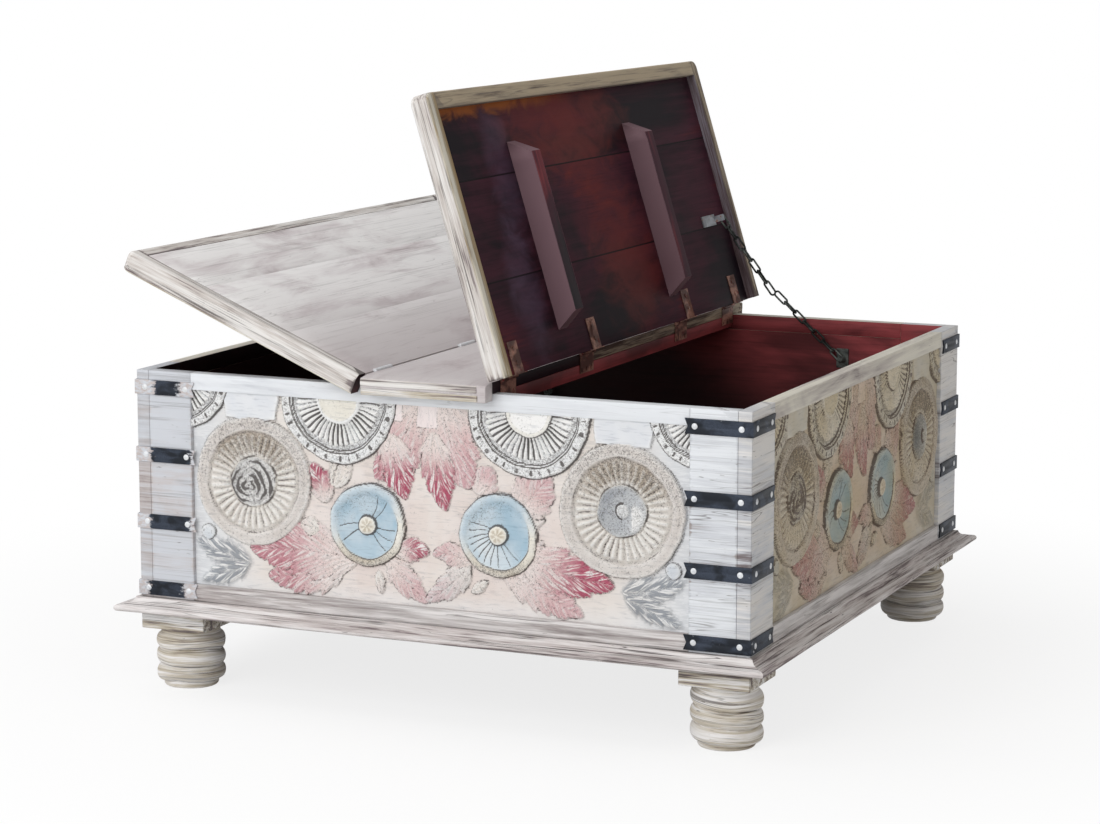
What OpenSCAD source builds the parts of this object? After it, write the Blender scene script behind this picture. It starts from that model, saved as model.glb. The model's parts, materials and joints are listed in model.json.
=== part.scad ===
// Square trunk coffee table: a carved box on four turned feet. Its top is a fixed centre
// strip with a lid hinged on each side of it. Millimetres, +Z up, +X right, the front
// face towards -Y. The origin is on the floor, under the middle of the table.

/* [Box] */
// Width of the box over its walls, left to right
body_w = 850; // [820:10:960]
// Depth of the box over its walls, front to back
body_d = 850; // [820:10:960]
// Height of the walls
wall_h = 300; // [290:5:360]
// Thickness of the wall boards
board_t = 18; // [16:0.5:24]
// Height of the plain rails above and below the carving
rail_h = 22; // [16:1:30]
// Width of the plain stiles at each corner
stile_w = 80; // [70:1:92]
// Depth of the carved ground below the frame's face
ground_depth = 6; // [4:0.5:8]
// Thickness of the floor board
floor_t = 12; // [8:1:18]
// Depth of the rail under the centre strip
centre_rail_h = 18; // [16:1:30]

/* [Carving] */
// Outer radius of the large medallions
medallion_r = 83; // [70:1:88]
// Plain margin between a large medallion and the stile
medallion_margin = 6; // [2:1:12]
// Height of the large medallions above the ground's lower edge
medallion_z = 143; // [120:1:150]
// Outer radius of the half medallions under the top rail
half_r = 82; // [60:1:88]
// Distance of the half medallions from the middle
half_x = 132; // [120:1:150]
// Number of flutes in a medallion
flutes = 36; // [24:1:48]
// Outer radius of the painted dishes
dish_r = 53; // [40:1:58]
// Distance of the painted dishes from the middle
dish_x = 91; // [80:1:100]
// Height of the painted dishes above the ground's lower edge
dish_z = 99; // [80:1:110]

/* [Base] */
// How far the base moulding stands out from the walls
moulding_out = 27; // [20:1:36]
// Height of the base moulding
moulding_h = 18; // [14:1:28]
// Width of the ledge that the moulding gives the floor board
ledge_w = 40; // [24:1:60]
// Side of the square block on top of each foot
block_side = 93; // [92:1:110]
// Height of the square block
block_h = 25; // [16:1:36]
// Height of the turned part of a foot
turned_h = 80; // [60:1:110]
// Largest radius of the rings turned on a foot
ring_r = 45.5; // [40:0.5:46]
// Number of rings turned on a foot
ring_count = 3; // [2:1:4]
// Radius of the neck above the rings
foot_neck_r = 39; // [36:0.5:42]
// Height of the neck
foot_neck_h = 9; // [5:0.5:14]
// Radius of the plain disc that a foot stands on
foot_bottom_r = 36; // [30:0.5:38]
// Height of that disc
foot_disc_h = 7; // [4:0.5:10]

/* [Top] */
// Thickness of the lid boards
lid_t = 15; // [12:0.5:20]
// Clearance between a closed lid and the top of the walls
seat_gap = 0.4; // [0.3:0.05:0.8]
// Distance between the two hinge lines
strip_w = 176; // [150:2:220]
// How far the top stands out past the walls
top_overhang = 25; // [20:0.5:34]
// Clearance between a closed lid's rim and the walls
rim_clear = 3.6; // [3.4:0.1:5]
// Height of the lid rims
rim_h = 27; // [24:0.5:27.5]
// Height of the lips at the ends of the centre strip
strip_lip_h = 24; // [20:0.5:27]
// Radius of the rounded upper edges
edge_round = 7; // [3:0.5:9]
// Gap between the centre strip and a closed lid
hinge_gap = 3; // [2.8:0.1:3.6]
// Gap between neighbouring lid boards
plank_gap = 0.3; // [0.2:0.05:0.6]
// Distance of the first board joint from the hinge line
first_joint = 118; // [100:1:130]
// Distance of the second board joint from the hinge line
second_joint = 248; // [220:1:280]

/* [Battens] */
// Width of a batten under a lid
batten_w = 26; // [18:1:40]
// Height of a batten
batten_h = 31; // [20:1:36]
// Distance of a batten's inner end from the hinge line
batten_start = 38; // [36:1:60]
// Length of a batten
batten_len = 250; // [200:5:280]
// Length of the sloping end of a batten
batten_slope = 20; // [10:1:30]
// Place of the front batten, from the middle of the table
front_batten_y = -226; // [-240:1:-150]
// Place of the back batten, from the middle of the table
back_batten_y = 156; // [140:1:240]

/* [Hinges] */
// Length of a hinge
hinge_len = 44; // [36:1:60]
// Outer radius of a hinge barrel
barrel_r = 3.2; // [2.8:0.1:4]
// Radius of a hinge pin
pin_r = 1.5; // [1:0.1:1.8]
// Radial running clearance of a pin in its barrel
pin_clear = 0.05; // [0.03:0.01:0.1]
// Thickness of the hinge leaves
leaf_t = 1.1; // [0.8:0.1:1.2]
// Height of the fixed leaf on the edge of the centre strip
leaf_h = 27; // [24:0.5:32]
// Place of the inner front hinge, from the middle of the table
front_hinge_y = -138; // [-240:1:-60]
// Place of the inner back hinge, from the middle of the table
back_hinge_y = 198; // [60:1:240]
// Reach of the lid leaf under the lid
leaf_reach = 42; // [30:1:60]
// Width of the lid leaf under the lid
leaf_w = 27; // [20:1:34]
// Radius of the screw heads
screw_head_r = 3; // [2.5:0.1:3.5]
// Height of a screw head above the iron
screw_head_h = 0.9; // [0.6:0.1:1.2]
// Radius of the screw and nail shanks
shank_r = 1.3; // [1:0.1:1.6]
// Length of the screws and nails in the wood
shank_len = 10; // [6:0.5:11]

/* [Corner straps] */
// Height of a strap
strap_h = 19; // [14:0.5:24]
// Thickness of the strap iron
strap_t = 2; // [1.5:0.1:2.2]
// Length of a strap on the front and back
strap_front_len = 86; // [70:1:100]
// Length of a strap on the left and right sides
strap_side_len = 77; // [66:1:90]
// Depth of the first strap below the top of the wall
strap_top = 22; // [22:1:30]
// Spacing of the straps down the corner
strap_pitch = 88.5; // [80:0.5:90]
// Depth of the notch in a strap's end
strap_notch = 4; // [2:0.5:6]
// Radius of a nail head
nail_head_r = 4; // [3:0.5:5]
// Height of a nail head
nail_head_h = 1.2; // [0.8:0.1:1.3]
// Distance of a nail from the strap's end and from the corner
nail_inset = 13; // [10:1:18]

/* [Lids as they stand] */
// How far the right lid stands open, leaning back on its chain
right_open = 107; // [96:0.5:110]
// How far the left lid stands open
left_open = 23.2; // [0:0.2:60]

/* [Chains] */
// Distance of the lid's chain pin from the hinge line
chain_lid_u = 127; // [110:1:150]
// Height of the lid's chain pin below the lid boards
chain_pin_drop = 12; // [11:0.5:16]
// Distance of the wall's chain pin from the side wall
chain_eye_inset = 149; // [130:1:165]
// Depth of the wall's chain pin below the top of the wall
chain_eye_depth = 55; // [45:1:70]
// Sag of the chain at its middle when the right lid leans on it
chain_sag = 12; // [8:0.5:16]
// Number of links in each half of the right chain
half_links = 7; // [5:2:9]
// Number of links between the wall and the elbow of the left chain
left_wall_links = 5; // [3:2:7]
// Radius of the chain wire
wire_r = 1.4; // [1.1:0.1:1.5]
// Half the clear width inside a link
link_inner_r = 2.6; // [2.2:0.1:3]
// Play between one link and the next
link_play = 0.5; // [0.3:0.1:0.8]
// Clearance between the upper and the lower half of a chain
chain_gap = 0.5; // [0.4:0.1:1]
// Thickness of the chain's mounting plates
plate_t = 2; // [1.5:0.1:3]

/* [Hidden] */
$fn = 48;

// Colours
WHITEWASH = "#c9c4bf";
CREAM = "#d8cdb9";
MAROON = "#4a1f22";
MAUVE = "#74525a";
IRON = "#33383f";
STEEL = "#8d8f92";

// Heights from the floor
block_z = turned_h;
moulding_z = block_z + block_h;
wall_z = moulding_z + moulding_h;
wall_top = wall_z + wall_h;
top_z = wall_top + seat_gap + lid_t;

// Plan sizes
panel_h = wall_h - 2 * rail_h;
inner_w = body_w - 2 * board_t;
inner_d = body_d - 2 * board_t;
moulding_in = board_t + ledge_w;
hinge_x = strip_w / 2;
strip_half = hinge_x - hinge_gap / 2;
lid_start = hinge_gap / 2;
lid_len = body_w / 2 + top_overhang - hinge_x;
top_half_d = body_d / 2 + top_overhang;
rim_t = top_overhang - rim_clear;
rim_corner_r = 12;
cut = 1; // how far a cutting solid runs past what it cuts
touch = 0.01; // how far a relief shape reaches into its ground

// Hinges
end_hinge_y = inner_d / 2 - 1 - hinge_len / 2; // 1 mm inside the front and back walls
hinge_ys = [-end_hinge_y, front_hinge_y, back_hinge_y, end_hinge_y];
third = hinge_len / 3;
knuckle_gap = 0.3;
groove_r = barrel_r + 0.4;
leaf_in = lid_start - leaf_t;
lid_screw_us = [15, leaf_reach - 9];
end_screw_y = hinge_len / 2 - 7;
fixed_screw_ys = [-end_screw_y, 0, end_screw_y];
fixed_screw_z = 5 - leaf_h;
hole_clear = 0.03;

// Chains, seen in the plane of a lid's swing: across from the middle, and up
link_out_r = link_inner_r + 2 * wire_r;
lower_chain_y = body_d / 2 - board_t - plate_t - 4 - link_out_r;
upper_chain_y = lower_chain_y - 2 * link_out_r - chain_gap;
chain_pin_r = link_inner_r - 0.08;
pin_head_r = link_inner_r + 1.4;
pin_head_h = 1.2;
chain_depth = lid_t + chain_pin_drop;
wall_pin = [inner_w / 2 - chain_eye_inset, wall_top - chain_eye_depth];
eye_plate = [18, 28]; // across and up
staple_plate = [16, 46]; // across and along the lid
lug_w = 9;
function lid_pin(open) = [
    hinge_x + chain_lid_u * cos(open) + chain_depth * sin(open),
    top_z + chain_lid_u * sin(open) - chain_depth * cos(open)
];
half_chain = sqrt(pow(norm(lid_pin(right_open) - wall_pin) / 2, 2) + pow(chain_sag, 2));
// A row's first link fits round its pin, and its last link's inner end lies at the elbow
link_pitch = (half_chain + link_inner_r - link_play) / half_links;
first_link = (link_pitch + link_play) / 2 - link_inner_r;
function row_len(links) = links * link_pitch + link_play - link_inner_r;
// Links in the wall's row and in the lid's row: both chains are equally long
right_rows = [half_links, half_links];
left_rows = [left_wall_links, 2 * half_links - left_wall_links];
// The elbow where the two rows meet, on the lower side of the line between the pins.
// Where a lid is too far closed for the rows to meet, they hang side by side.
function elbow(open, rows) =
    let (d = lid_pin(open) - wall_pin, span = norm(d), low = row_len(rows[0]),
        along = (pow(low, 2) - pow(row_len(rows[1]), 2) + pow(span, 2)) / (2 * span),
        off = sqrt(max(0, pow(low, 2) - pow(along, 2))))
    wall_pin + along / span * d + off / span * [-d[1], d[0]];
function heading(v) = atan2(v[1], v[0]);
function lower_angle(open, rows) = heading(elbow(open, rows) - wall_pin);
function upper_angle(open, rows) = heading(elbow(open, rows) - lid_pin(open)) - open;

// Carving, on the panel seen from outside: across from its middle, and up
medallion_x = body_w / 2 - stile_w - medallion_margin - medallion_r;
side_medallion_x = body_d / 2 - stile_w - medallion_margin - medallion_r;
medallion_rim = 16; // width of the plain ring round a medallion's flutes
flute_depth = 8; // how far the notches between the flutes reach in
medallion_boss_r = 33;
half_boss_r = 27;
dish_rim = 8;
dish_boss_r = 11;
// Leaves on one half of the panel: across, up, heading, length, width
leaves = [
    [12, 246, 262, 96, 34], [34, 252, 228, 110, 40], [20, 150, 300, 66, 34],
    [40, 40, 8, 120, 46], [70, 28, 342, 110, 34], [24, 66, 60, 60, 26],
    [150, 136, 20, 60, 34], [168, 44, 12, 110, 30], [300, 64, 320, 60, 26],
    [186, 232, 350, 46, 26], [272, 244, 20, 50, 24], [320, 226, 60, 40, 24]
];

// Places a wall's pieces: the wall runs along X, its outer face lies at y = 0
module on_side(side) {
    if (side == "front") translate([0, -body_d / 2, 0]) children();
    if (side == "back") rotate([0, 0, 180]) translate([0, -body_d / 2, 0]) children();
    if (side == "right") rotate([0, 0, 90]) translate([0, -body_w / 2, 0]) children();
    if (side == "left") rotate([0, 0, -90]) translate([0, -body_w / 2, 0]) children();
}
function lengthwise(side) = side == "front" || side == "back" ? body_w : body_d;

module at_right_lid() {
    translate([hinge_x, 0, top_z]) rotate([0, -right_open, 0]) children();
}
module at_left_lid() {
    mirror([1, 0, 0]) translate([hinge_x, 0, top_z]) rotate([0, -left_open, 0]) children();
}
module at_left() { mirror([1, 0, 0]) children(); }

// A corner's place: the box fills the quarter x < 0, y < 0
module at_corner(sx, sy) {
    translate([sx * body_w / 2, sy * body_d / 2, 0])
        mirror([sx < 0 ? 1 : 0, 0, 0]) mirror([0, sy < 0 ? 1 : 0, 0]) children();
}

// Walls
module top_rail(side) {
    len = lengthwise(side) - 2 * stile_w;
    color(WHITEWASH) on_side(side)
        translate([-len / 2, 0, wall_top - rail_h]) cube([len, board_t, rail_h]);
}
module bottom_rail(side) {
    len = lengthwise(side) - 2 * stile_w;
    color(WHITEWASH) on_side(side)
        translate([-len / 2, 0, wall_z]) cube([len, board_t, rail_h]);
}
// The side walls run the full depth, and the front and back walls fit between them
module stiles(side) {
    between = side == "front" || side == "back";
    width = between ? stile_w - board_t : stile_w;
    color(WHITEWASH) difference() {
        on_side(side) for (m = [0, 1]) mirror([m, 0, 0])
            translate([lengthwise(side) / 2 - stile_w, 0, wall_z]) cube([width, board_t, wall_h]);
        for (sx = [-1, 1], sy = [-1, 1]) at_corner(sx, sy) nail_holes();
    }
}

// Carving
module star(r_out, r_in, points) {
    step = 360 / points;
    polygon([for (i = [0:points - 1], k = [0, 1])
        (k == 0 ? r_out : r_in) * [cos(step * (i + k / 2)), sin(step * (i + k / 2))]]);
}
module leaf(len, width) {
    steps = 8;
    half = [for (i = [0:steps]) let (s = i / steps)
        [s * len, width / 2 * sin(180 * pow(s, 0.8)) * (i % 2 == 0 ? 1 : 0.72)]];
    polygon(concat(half, [for (i = [steps - 1:-1:1]) [half[i][0], -half[i][1]]]));
}
// A relief shape stands up from the ground; its drawing is cut off at the panel's edge
module raised(height, pw) {
    translate([0, ground_depth + touch, 0]) rotate([90, 0, 0]) linear_extrude(height + touch)
        intersection() {
            children();
            translate([-pw / 2, 0]) square([pw, panel_h]);
        }
}
module ring(r_out, r_in) {
    difference() {
        circle(r_out);
        circle(r_in);
    }
}
module fluted_medallion(x, z, r, boss_r, pw) {
    flute_r = r - medallion_rim - 2;
    raised(ground_depth - 1, pw) translate([x, z]) ring(r, r - medallion_rim);
    raised(ground_depth - 2, pw) translate([x, z]) star(flute_r, flute_r - flute_depth, flutes);
    raised(ground_depth, pw) translate([x, z]) circle(boss_r);
}
module painted_dish(x, pw) {
    raised(ground_depth - 1, pw) translate([x, dish_z]) ring(dish_r, dish_r - dish_rim);
    raised(ground_depth - 3, pw) translate([x, dish_z]) circle(dish_r - dish_rim + 1);
    raised(ground_depth - 1, pw) translate([x, dish_z]) circle(dish_boss_r);
}
module carved_panel(side) {
    pw = lengthwise(side) - 2 * stile_w;
    mx = side == "front" || side == "back" ? medallion_x : side_medallion_x;
    color(CREAM) on_side(side) translate([0, 0, wall_z + rail_h]) union() {
        translate([-pw / 2, ground_depth, 0]) cube([pw, board_t - ground_depth, panel_h]);
        for (s = [-1, 1]) {
            fluted_medallion(s * mx, medallion_z, medallion_r, medallion_boss_r, pw);
            fluted_medallion(s * half_x, panel_h, half_r, half_boss_r, pw);
            painted_dish(s * dish_x, pw);
        }
        for (m = [0, 1]) mirror([m, 0, 0]) for (l = leaves)
            raised(ground_depth - 4, pw) translate([l[0], l[1]]) rotate(l[2]) leaf(l[3], l[4]);
    }
}

// Base
module floor_board() {
    color(MAROON) translate([-inner_w / 2, -inner_d / 2, wall_z])
        cube([inner_w, inner_d, floor_t]);
}
// Profile of the base moulding: a round nose below, a hollow above it
module moulding_profile() {
    nose = moulding_h / 4;
    step = moulding_out - 3 * nose;
    difference() {
        union() {
            translate([0, 0]) square([moulding_in + moulding_out - nose, 2 * nose]);
            translate([moulding_in + moulding_out - nose, nose]) circle(nose);
            square([moulding_in + step + nose, moulding_h]);
        }
        translate([moulding_in + step + nose, moulding_h]) circle(nose);
    }
}
module base_moulding(side) {
    len = lengthwise(side);
    reach = moulding_in + moulding_out;
    far = len / 2 + moulding_out;
    color(WHITEWASH) intersection() {
        on_side(side) translate([-far, moulding_in, moulding_z]) rotate([90, 0, 90])
            mirror([1, 0, 0]) linear_extrude(2 * far) moulding_profile();
        on_side(side) translate([0, 0, moulding_z]) linear_extrude(moulding_h)
            polygon([[-far, -moulding_out], [far, -moulding_out],
                [far - reach, moulding_in], [reach - far, moulding_in]]);
    }
}
module foot(sx, sy) {
    ring_h = (turned_h - foot_neck_h - foot_disc_h) / ring_count;
    ring_tube = ring_h / 2 + 1;
    color(WHITEWASH) at_corner(sx, sy) {
        translate([-block_side, -block_side, block_z]) cube([block_side, block_side, block_h]);
        translate([-block_side / 2, -block_side / 2, 0]) rotate_extrude() intersection() {
            union() {
                square([foot_bottom_r, turned_h + touch]);
                translate([0, turned_h - foot_neck_h]) square([foot_neck_r, foot_neck_h + touch]);
                for (i = [0:ring_count - 1])
                    translate([ring_r - ring_tube, foot_disc_h + ring_h * (i + 0.5)])
                        circle(ring_tube);
            }
            square([ring_r + cut, turned_h + touch]);
        }
    }
}

// Corner straps
function strap_z(i) = wall_top - strap_top - i * strap_pitch;
module strap_leg(len) {
    translate([0, 0, -strap_h / 2]) rotate([90, 0, 0]) translate([0, 0, -strap_t])
        linear_extrude(strap_t) polygon([[strap_t, 0], [strap_t, strap_h], [-len, strap_h],
            [-len + strap_notch, strap_h / 2], [-len, 0]]);
}
// Nail places on one strap: origins on the outer faces, with +Z pointing out of the wood
module at_nails() {
    for (x = [-nail_inset, nail_inset - strap_front_len])
        translate([x, strap_t, 0]) rotate([-90, 0, 0]) children();
    for (y = [-nail_inset, nail_inset - strap_side_len])
        translate([strap_t, y, 0]) rotate([0, 90, 0]) children();
}
module nail_holes() {
    for (i = [0:3]) translate([0, 0, strap_z(i)]) at_nails()
        translate([0, 0, -strap_t - shank_len - hole_clear])
            cylinder(h = strap_t + shank_len + cut, r = shank_r + hole_clear);
}
module straps(sx, sy) {
    color(IRON) at_corner(sx, sy) difference() {
        for (i = [0:3]) translate([0, 0, strap_z(i)]) {
            strap_leg(strap_front_len);
            mirror([1, -1, 0]) strap_leg(strap_side_len);
        }
        nail_holes();
    }
}
// A domed head on a plain shank
module nail() {
    dome_r = (pow(nail_head_r, 2) + pow(nail_head_h, 2)) / (2 * nail_head_h);
    intersection() {
        translate([0, 0, nail_head_h - dome_r]) sphere(dome_r);
        cylinder(h = nail_head_h, r = nail_head_r);
    }
    translate([0, 0, -strap_t - shank_len]) cylinder(h = strap_t + shank_len + touch, r = shank_r);
}
module strap_nails() {
    color(STEEL) for (sx = [-1, 1], sy = [-1, 1]) at_corner(sx, sy)
        for (i = [0:3]) translate([0, 0, strap_z(i)]) at_nails() nail();
}

// Fixed centre of the top
module hinge_grooves() {
    for (y = hinge_ys) translate([0, y - hinge_len / 2 - knuckle_gap, 0]) rotate([-90, 0, 0])
        cylinder(h = hinge_len + 2 * knuckle_gap, r = groove_r);
}
module fixed_screw_holes() {
    for (y = hinge_ys, s = fixed_screw_ys)
        translate([-lid_start - shank_len, y + s, fixed_screw_z]) rotate([0, 90, 0])
            cylinder(h = shank_len + leaf_t + cut, r = shank_r + hole_clear);
}
// Both hinge lines, each seen as the right one
module at_both_hinges() {
    for (m = [0, 1]) mirror([m, 0, 0]) translate([hinge_x, 0, top_z]) children();
}
module centre_strip() {
    lip_d = top_overhang - rim_clear;
    color(WHITEWASH) difference() {
        union() {
            translate([-strip_half, -top_half_d + edge_round, wall_top])
                cube([2 * strip_half, 2 * (top_half_d - edge_round), seat_gap + lid_t]);
            for (m = [0, 1]) mirror([0, m, 0]) translate([-strip_half, -top_half_d, top_z])
                rotate([90, 0, 90]) linear_extrude(2 * strip_half) rim_profile(lip_d, strip_lip_h);
        }
        at_both_hinges() hinge_grooves();
    }
}
module centre_rail() {
    color(MAROON) difference() {
        translate([-strip_half, -inner_d / 2, wall_top - centre_rail_h])
            cube([2 * strip_half, inner_d, centre_rail_h]);
        at_both_hinges() fixed_screw_holes();
    }
}

// A rim's section: its outer edge is at x = 0, its top at y = 0, rounded on the outside
module rim_profile(depth, height) {
    low_round = 4;
    union() {
        translate([edge_round, -edge_round]) circle(edge_round);
        translate([low_round, low_round - height]) circle(low_round);
        translate([edge_round, -edge_round - touch]) square([depth - edge_round, edge_round + touch]);
        translate([0, low_round - height]) square([depth, height - low_round - edge_round]);
        translate([low_round, -height]) square([depth - low_round, low_round + touch]);
    }
}

// A lid, closed and flat: its hinge line is the Y axis and its top lies at z = 0
module lid_boards() {
    starts = [lid_start, first_joint + plank_gap / 2, second_joint + plank_gap / 2];
    ends = [first_joint - plank_gap / 2, second_joint - plank_gap / 2, lid_len - rim_t];
    half = top_half_d - rim_t;
    color(MAROON) difference() {
        for (i = [0:2]) translate([starts[i], -half, -lid_t])
            cube([ends[i] - starts[i], 2 * half, lid_t]);
        hinge_grooves();
        lid_screw_holes();
    }
}
module lid_side_rim() {
    color(CREAM) intersection() {
        translate([lid_start, -top_half_d, 0]) rotate([90, 0, 90])
            linear_extrude(lid_len - lid_start) rim_profile(rim_t, rim_h);
        translate([0, 0, -rim_h]) linear_extrude(rim_h) {
            translate([0, -top_half_d]) square([lid_len - rim_corner_r, rim_t]);
            translate([0, rim_corner_r - top_half_d]) square([lid_len, rim_t - rim_corner_r]);
            translate([lid_len - rim_corner_r, rim_corner_r - top_half_d]) circle(rim_corner_r);
        }
    }
}
module lid_outer_rim() {
    half = top_half_d - rim_t;
    color(CREAM) translate([lid_len, half, 0]) rotate([90, 0, 0]) mirror([1, 0, 0])
        linear_extrude(2 * half) rim_profile(rim_t, rim_h);
}
module lid_battens() {
    color(MAUVE) for (y = [front_batten_y, back_batten_y])
        translate([batten_start, y + batten_w / 2, -lid_t]) rotate([90, 0, 0])
            linear_extrude(batten_w) polygon([[0, 0], [batten_slope, -batten_h],
                [batten_len - batten_slope, -batten_h], [batten_len, 0]]);
}

// Hinges
module barrel(y, len) {
    translate([0, y, 0]) rotate([-90, 0, 0]) cylinder(h = len, r = barrel_r);
}
module pin_bores() {
    for (y = hinge_ys) translate([0, y - hinge_len / 2 - cut, 0]) rotate([-90, 0, 0])
        cylinder(h = hinge_len + 2 * cut, r = pin_r + pin_clear);
}
module fixed_leaves() {
    color(IRON) difference() {
        for (y = hinge_ys) {
            difference() {
                translate([-lid_start, y - hinge_len / 2, -leaf_h]) cube([leaf_t, hinge_len, leaf_h]);
                translate([0, y - third / 2 - knuckle_gap, 0]) rotate([-90, 0, 0])
                    cylinder(h = third + 2 * knuckle_gap, r = groove_r);
            }
            for (k = [-1.5, 0.5]) barrel(y + k * third, third);
        }
        pin_bores();
        fixed_screw_holes();
    }
}
module lid_leaves() {
    color(IRON) difference() {
        for (y = hinge_ys) {
            difference() {
                translate([leaf_in, y - hinge_len / 2, -lid_t - leaf_t])
                    cube([leaf_t, hinge_len, lid_t + leaf_t]);
                for (k = [-1.5, 0.5]) translate([0, y + k * third - knuckle_gap, 0])
                    rotate([-90, 0, 0]) cylinder(h = third + 2 * knuckle_gap, r = groove_r);
            }
            translate([leaf_in, y - leaf_w / 2, -lid_t - leaf_t]) cube([leaf_reach, leaf_w, leaf_t]);
            barrel(y - third / 2 + knuckle_gap, third - 2 * knuckle_gap);
        }
        pin_bores();
        lid_screw_holes();
    }
}
module hinge_pins() {
    color(STEEL) for (y = hinge_ys) translate([0, y - hinge_len / 2, 0]) rotate([-90, 0, 0])
        cylinder(h = hinge_len, r = pin_r);
}
module screw(through) {
    cylinder(h = screw_head_h, r = screw_head_r);
    translate([0, 0, -shank_len - through + touch]) cylinder(h = shank_len + through, r = shank_r);
}
module lid_screw_holes() {
    for (y = hinge_ys, u = lid_screw_us) translate([u, y, -lid_t - leaf_t - cut])
        cylinder(h = shank_len + leaf_t + cut + hole_clear, r = shank_r + hole_clear);
}
module lid_screws() {
    color(STEEL) for (y = hinge_ys, u = lid_screw_us)
        translate([u, y, -lid_t - leaf_t]) rotate([180, 0, 0]) screw(leaf_t - hole_clear);
}
module fixed_leaf_screws() {
    color(STEEL) at_both_hinges() for (y = hinge_ys, s = fixed_screw_ys)
        translate([leaf_t - lid_start, y + s, fixed_screw_z]) rotate([0, 90, 0])
            screw(leaf_t - hole_clear);
}

// Chains
// One link in the plane of the lid's swing, lying along X about the origin. Its straights are
// whole hundredths of a millimetre long, so that they meet the round ends exactly.
module link() {
    end_r = link_inner_r + wire_r;
    straight = round(100 * (link_pitch + link_play - 2 * link_inner_r)) / 100;
    for (m = [0, 1]) mirror([m, 0, 0]) translate([straight / 2, 0, 0]) rotate([90, 0, 0])
        rotate_extrude(angle = 180, start = -90) translate([end_r, 0]) circle(wire_r);
    for (s = [-1, 1]) translate([-straight / 2, 0, s * end_r]) rotate([0, 90, 0])
        cylinder(h = straight, r = wire_r);
}
// A row of links, from a pin at the origin out along +X
module row(links) {
    color(IRON) for (i = [0:links - 1]) translate([first_link + i * link_pitch, 0, 0])
        rotate([i % 2 == 0 ? 0 : 90, 0, 0]) link();
}
module lower_links(open, rows) {
    translate([wall_pin[0], lower_chain_y, wall_pin[1]])
        rotate([0, -lower_angle(open, rows), 0]) row(rows[0]);
}
// In the lid's own frame
module upper_links(open, rows) {
    translate([chain_lid_u, upper_chain_y, -chain_depth])
        rotate([0, -upper_angle(open, rows), 0]) row(rows[1]);
}
// A round pin along -Y from the origin, with a head that keeps the link on it
module headed_pin(len) {
    rotate([90, 0, 0]) {
        cylinder(h = len, r = chain_pin_r);
        translate([0, 0, len - pin_head_h]) cylinder(h = pin_head_h, r = pin_head_r);
    }
}
module wall_eye() {
    wall_y = inner_d / 2;
    pin_len = wall_y - plate_t - lower_chain_y + wire_r + link_play + pin_head_h;
    color(IRON) translate([wall_pin[0], wall_y - plate_t, wall_pin[1]]) {
        translate([-eye_plate[0] / 2, 0, -eye_plate[1] / 2]) cube([eye_plate[0], plate_t, eye_plate[1]]);
        translate([0, touch, 0]) headed_pin(pin_len + touch);
    }
}
module chain_staple() {
    lug_y = upper_chain_y - wire_r - link_play - plate_t;
    pin_len = upper_chain_y + wire_r + link_play + pin_head_h - lug_y - plate_t;
    color(IRON) {
        translate([chain_lid_u - staple_plate[0] / 2, lug_y - staple_plate[1], -lid_t - plate_t])
            cube([staple_plate[0], staple_plate[1] + plate_t, plate_t]);
        translate([chain_lid_u - lug_w / 2, lug_y, -chain_depth - lug_w / 2])
            cube([lug_w, plate_t, chain_pin_drop + lug_w / 2]);
        translate([chain_lid_u, lug_y + plate_t - touch, -chain_depth])
            mirror([0, 1, 0]) headed_pin(pin_len + touch);
    }
}

top_rail("front");  // front_top_rail
bottom_rail("front");  // front_bottom_rail
stiles("front");  // front_stiles
carved_panel("front");  // front_carved_panel
top_rail("right");  // right_top_rail
bottom_rail("right");  // right_bottom_rail
stiles("right");  // right_stiles
carved_panel("right");  // right_carved_panel
top_rail("back");  // back_top_rail
bottom_rail("back");  // back_bottom_rail
stiles("back");  // back_stiles
carved_panel("back");  // back_carved_panel
top_rail("left");  // left_top_rail
bottom_rail("left");  // left_bottom_rail
stiles("left");  // left_stiles
carved_panel("left");  // left_carved_panel
floor_board();
base_moulding("front");  // front_base_moulding
base_moulding("right");  // right_base_moulding
base_moulding("back");  // back_base_moulding
base_moulding("left");  // left_base_moulding
foot(-1, -1);  // front_left_foot
foot(1, -1);  // front_right_foot
foot(1, 1);  // back_right_foot
foot(-1, 1);  // back_left_foot
straps(-1, -1);  // front_left_straps
straps(1, -1);  // front_right_straps
straps(1, 1);  // back_right_straps
straps(-1, 1);  // back_left_straps
strap_nails();
centre_strip();
centre_rail();
at_right_lid() lid_boards();  // right_lid_boards
at_right_lid() lid_side_rim();  // right_lid_front_rim
at_right_lid() mirror([0, 1, 0]) lid_side_rim();  // right_lid_back_rim
at_right_lid() lid_outer_rim();  // right_lid_outer_rim
at_right_lid() lid_battens();  // right_lid_battens
at_left_lid() lid_boards();  // left_lid_boards
at_left_lid() lid_side_rim();  // left_lid_front_rim
at_left_lid() mirror([0, 1, 0]) lid_side_rim();  // left_lid_back_rim
at_left_lid() lid_outer_rim();  // left_lid_outer_rim
at_left_lid() lid_battens();  // left_lid_battens
translate([hinge_x, 0, top_z]) fixed_leaves();  // right_fixed_leaves
at_right_lid() lid_leaves();  // right_lid_leaves
translate([hinge_x, 0, top_z]) hinge_pins();  // right_hinge_pins
at_left() translate([hinge_x, 0, top_z]) fixed_leaves();  // left_fixed_leaves
at_left_lid() lid_leaves();  // left_lid_leaves
at_left() translate([hinge_x, 0, top_z]) hinge_pins();  // left_hinge_pins
fixed_leaf_screws();
at_right_lid() lid_screws();  // right_lid_screws
at_left_lid() lid_screws();  // left_lid_screws
at_right_lid() chain_staple();  // right_chain_staple
wall_eye();  // right_wall_eye
at_right_lid() upper_links(right_open, right_rows);  // right_chain_upper_links
lower_links(right_open, right_rows);  // right_chain_lower_links
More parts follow.
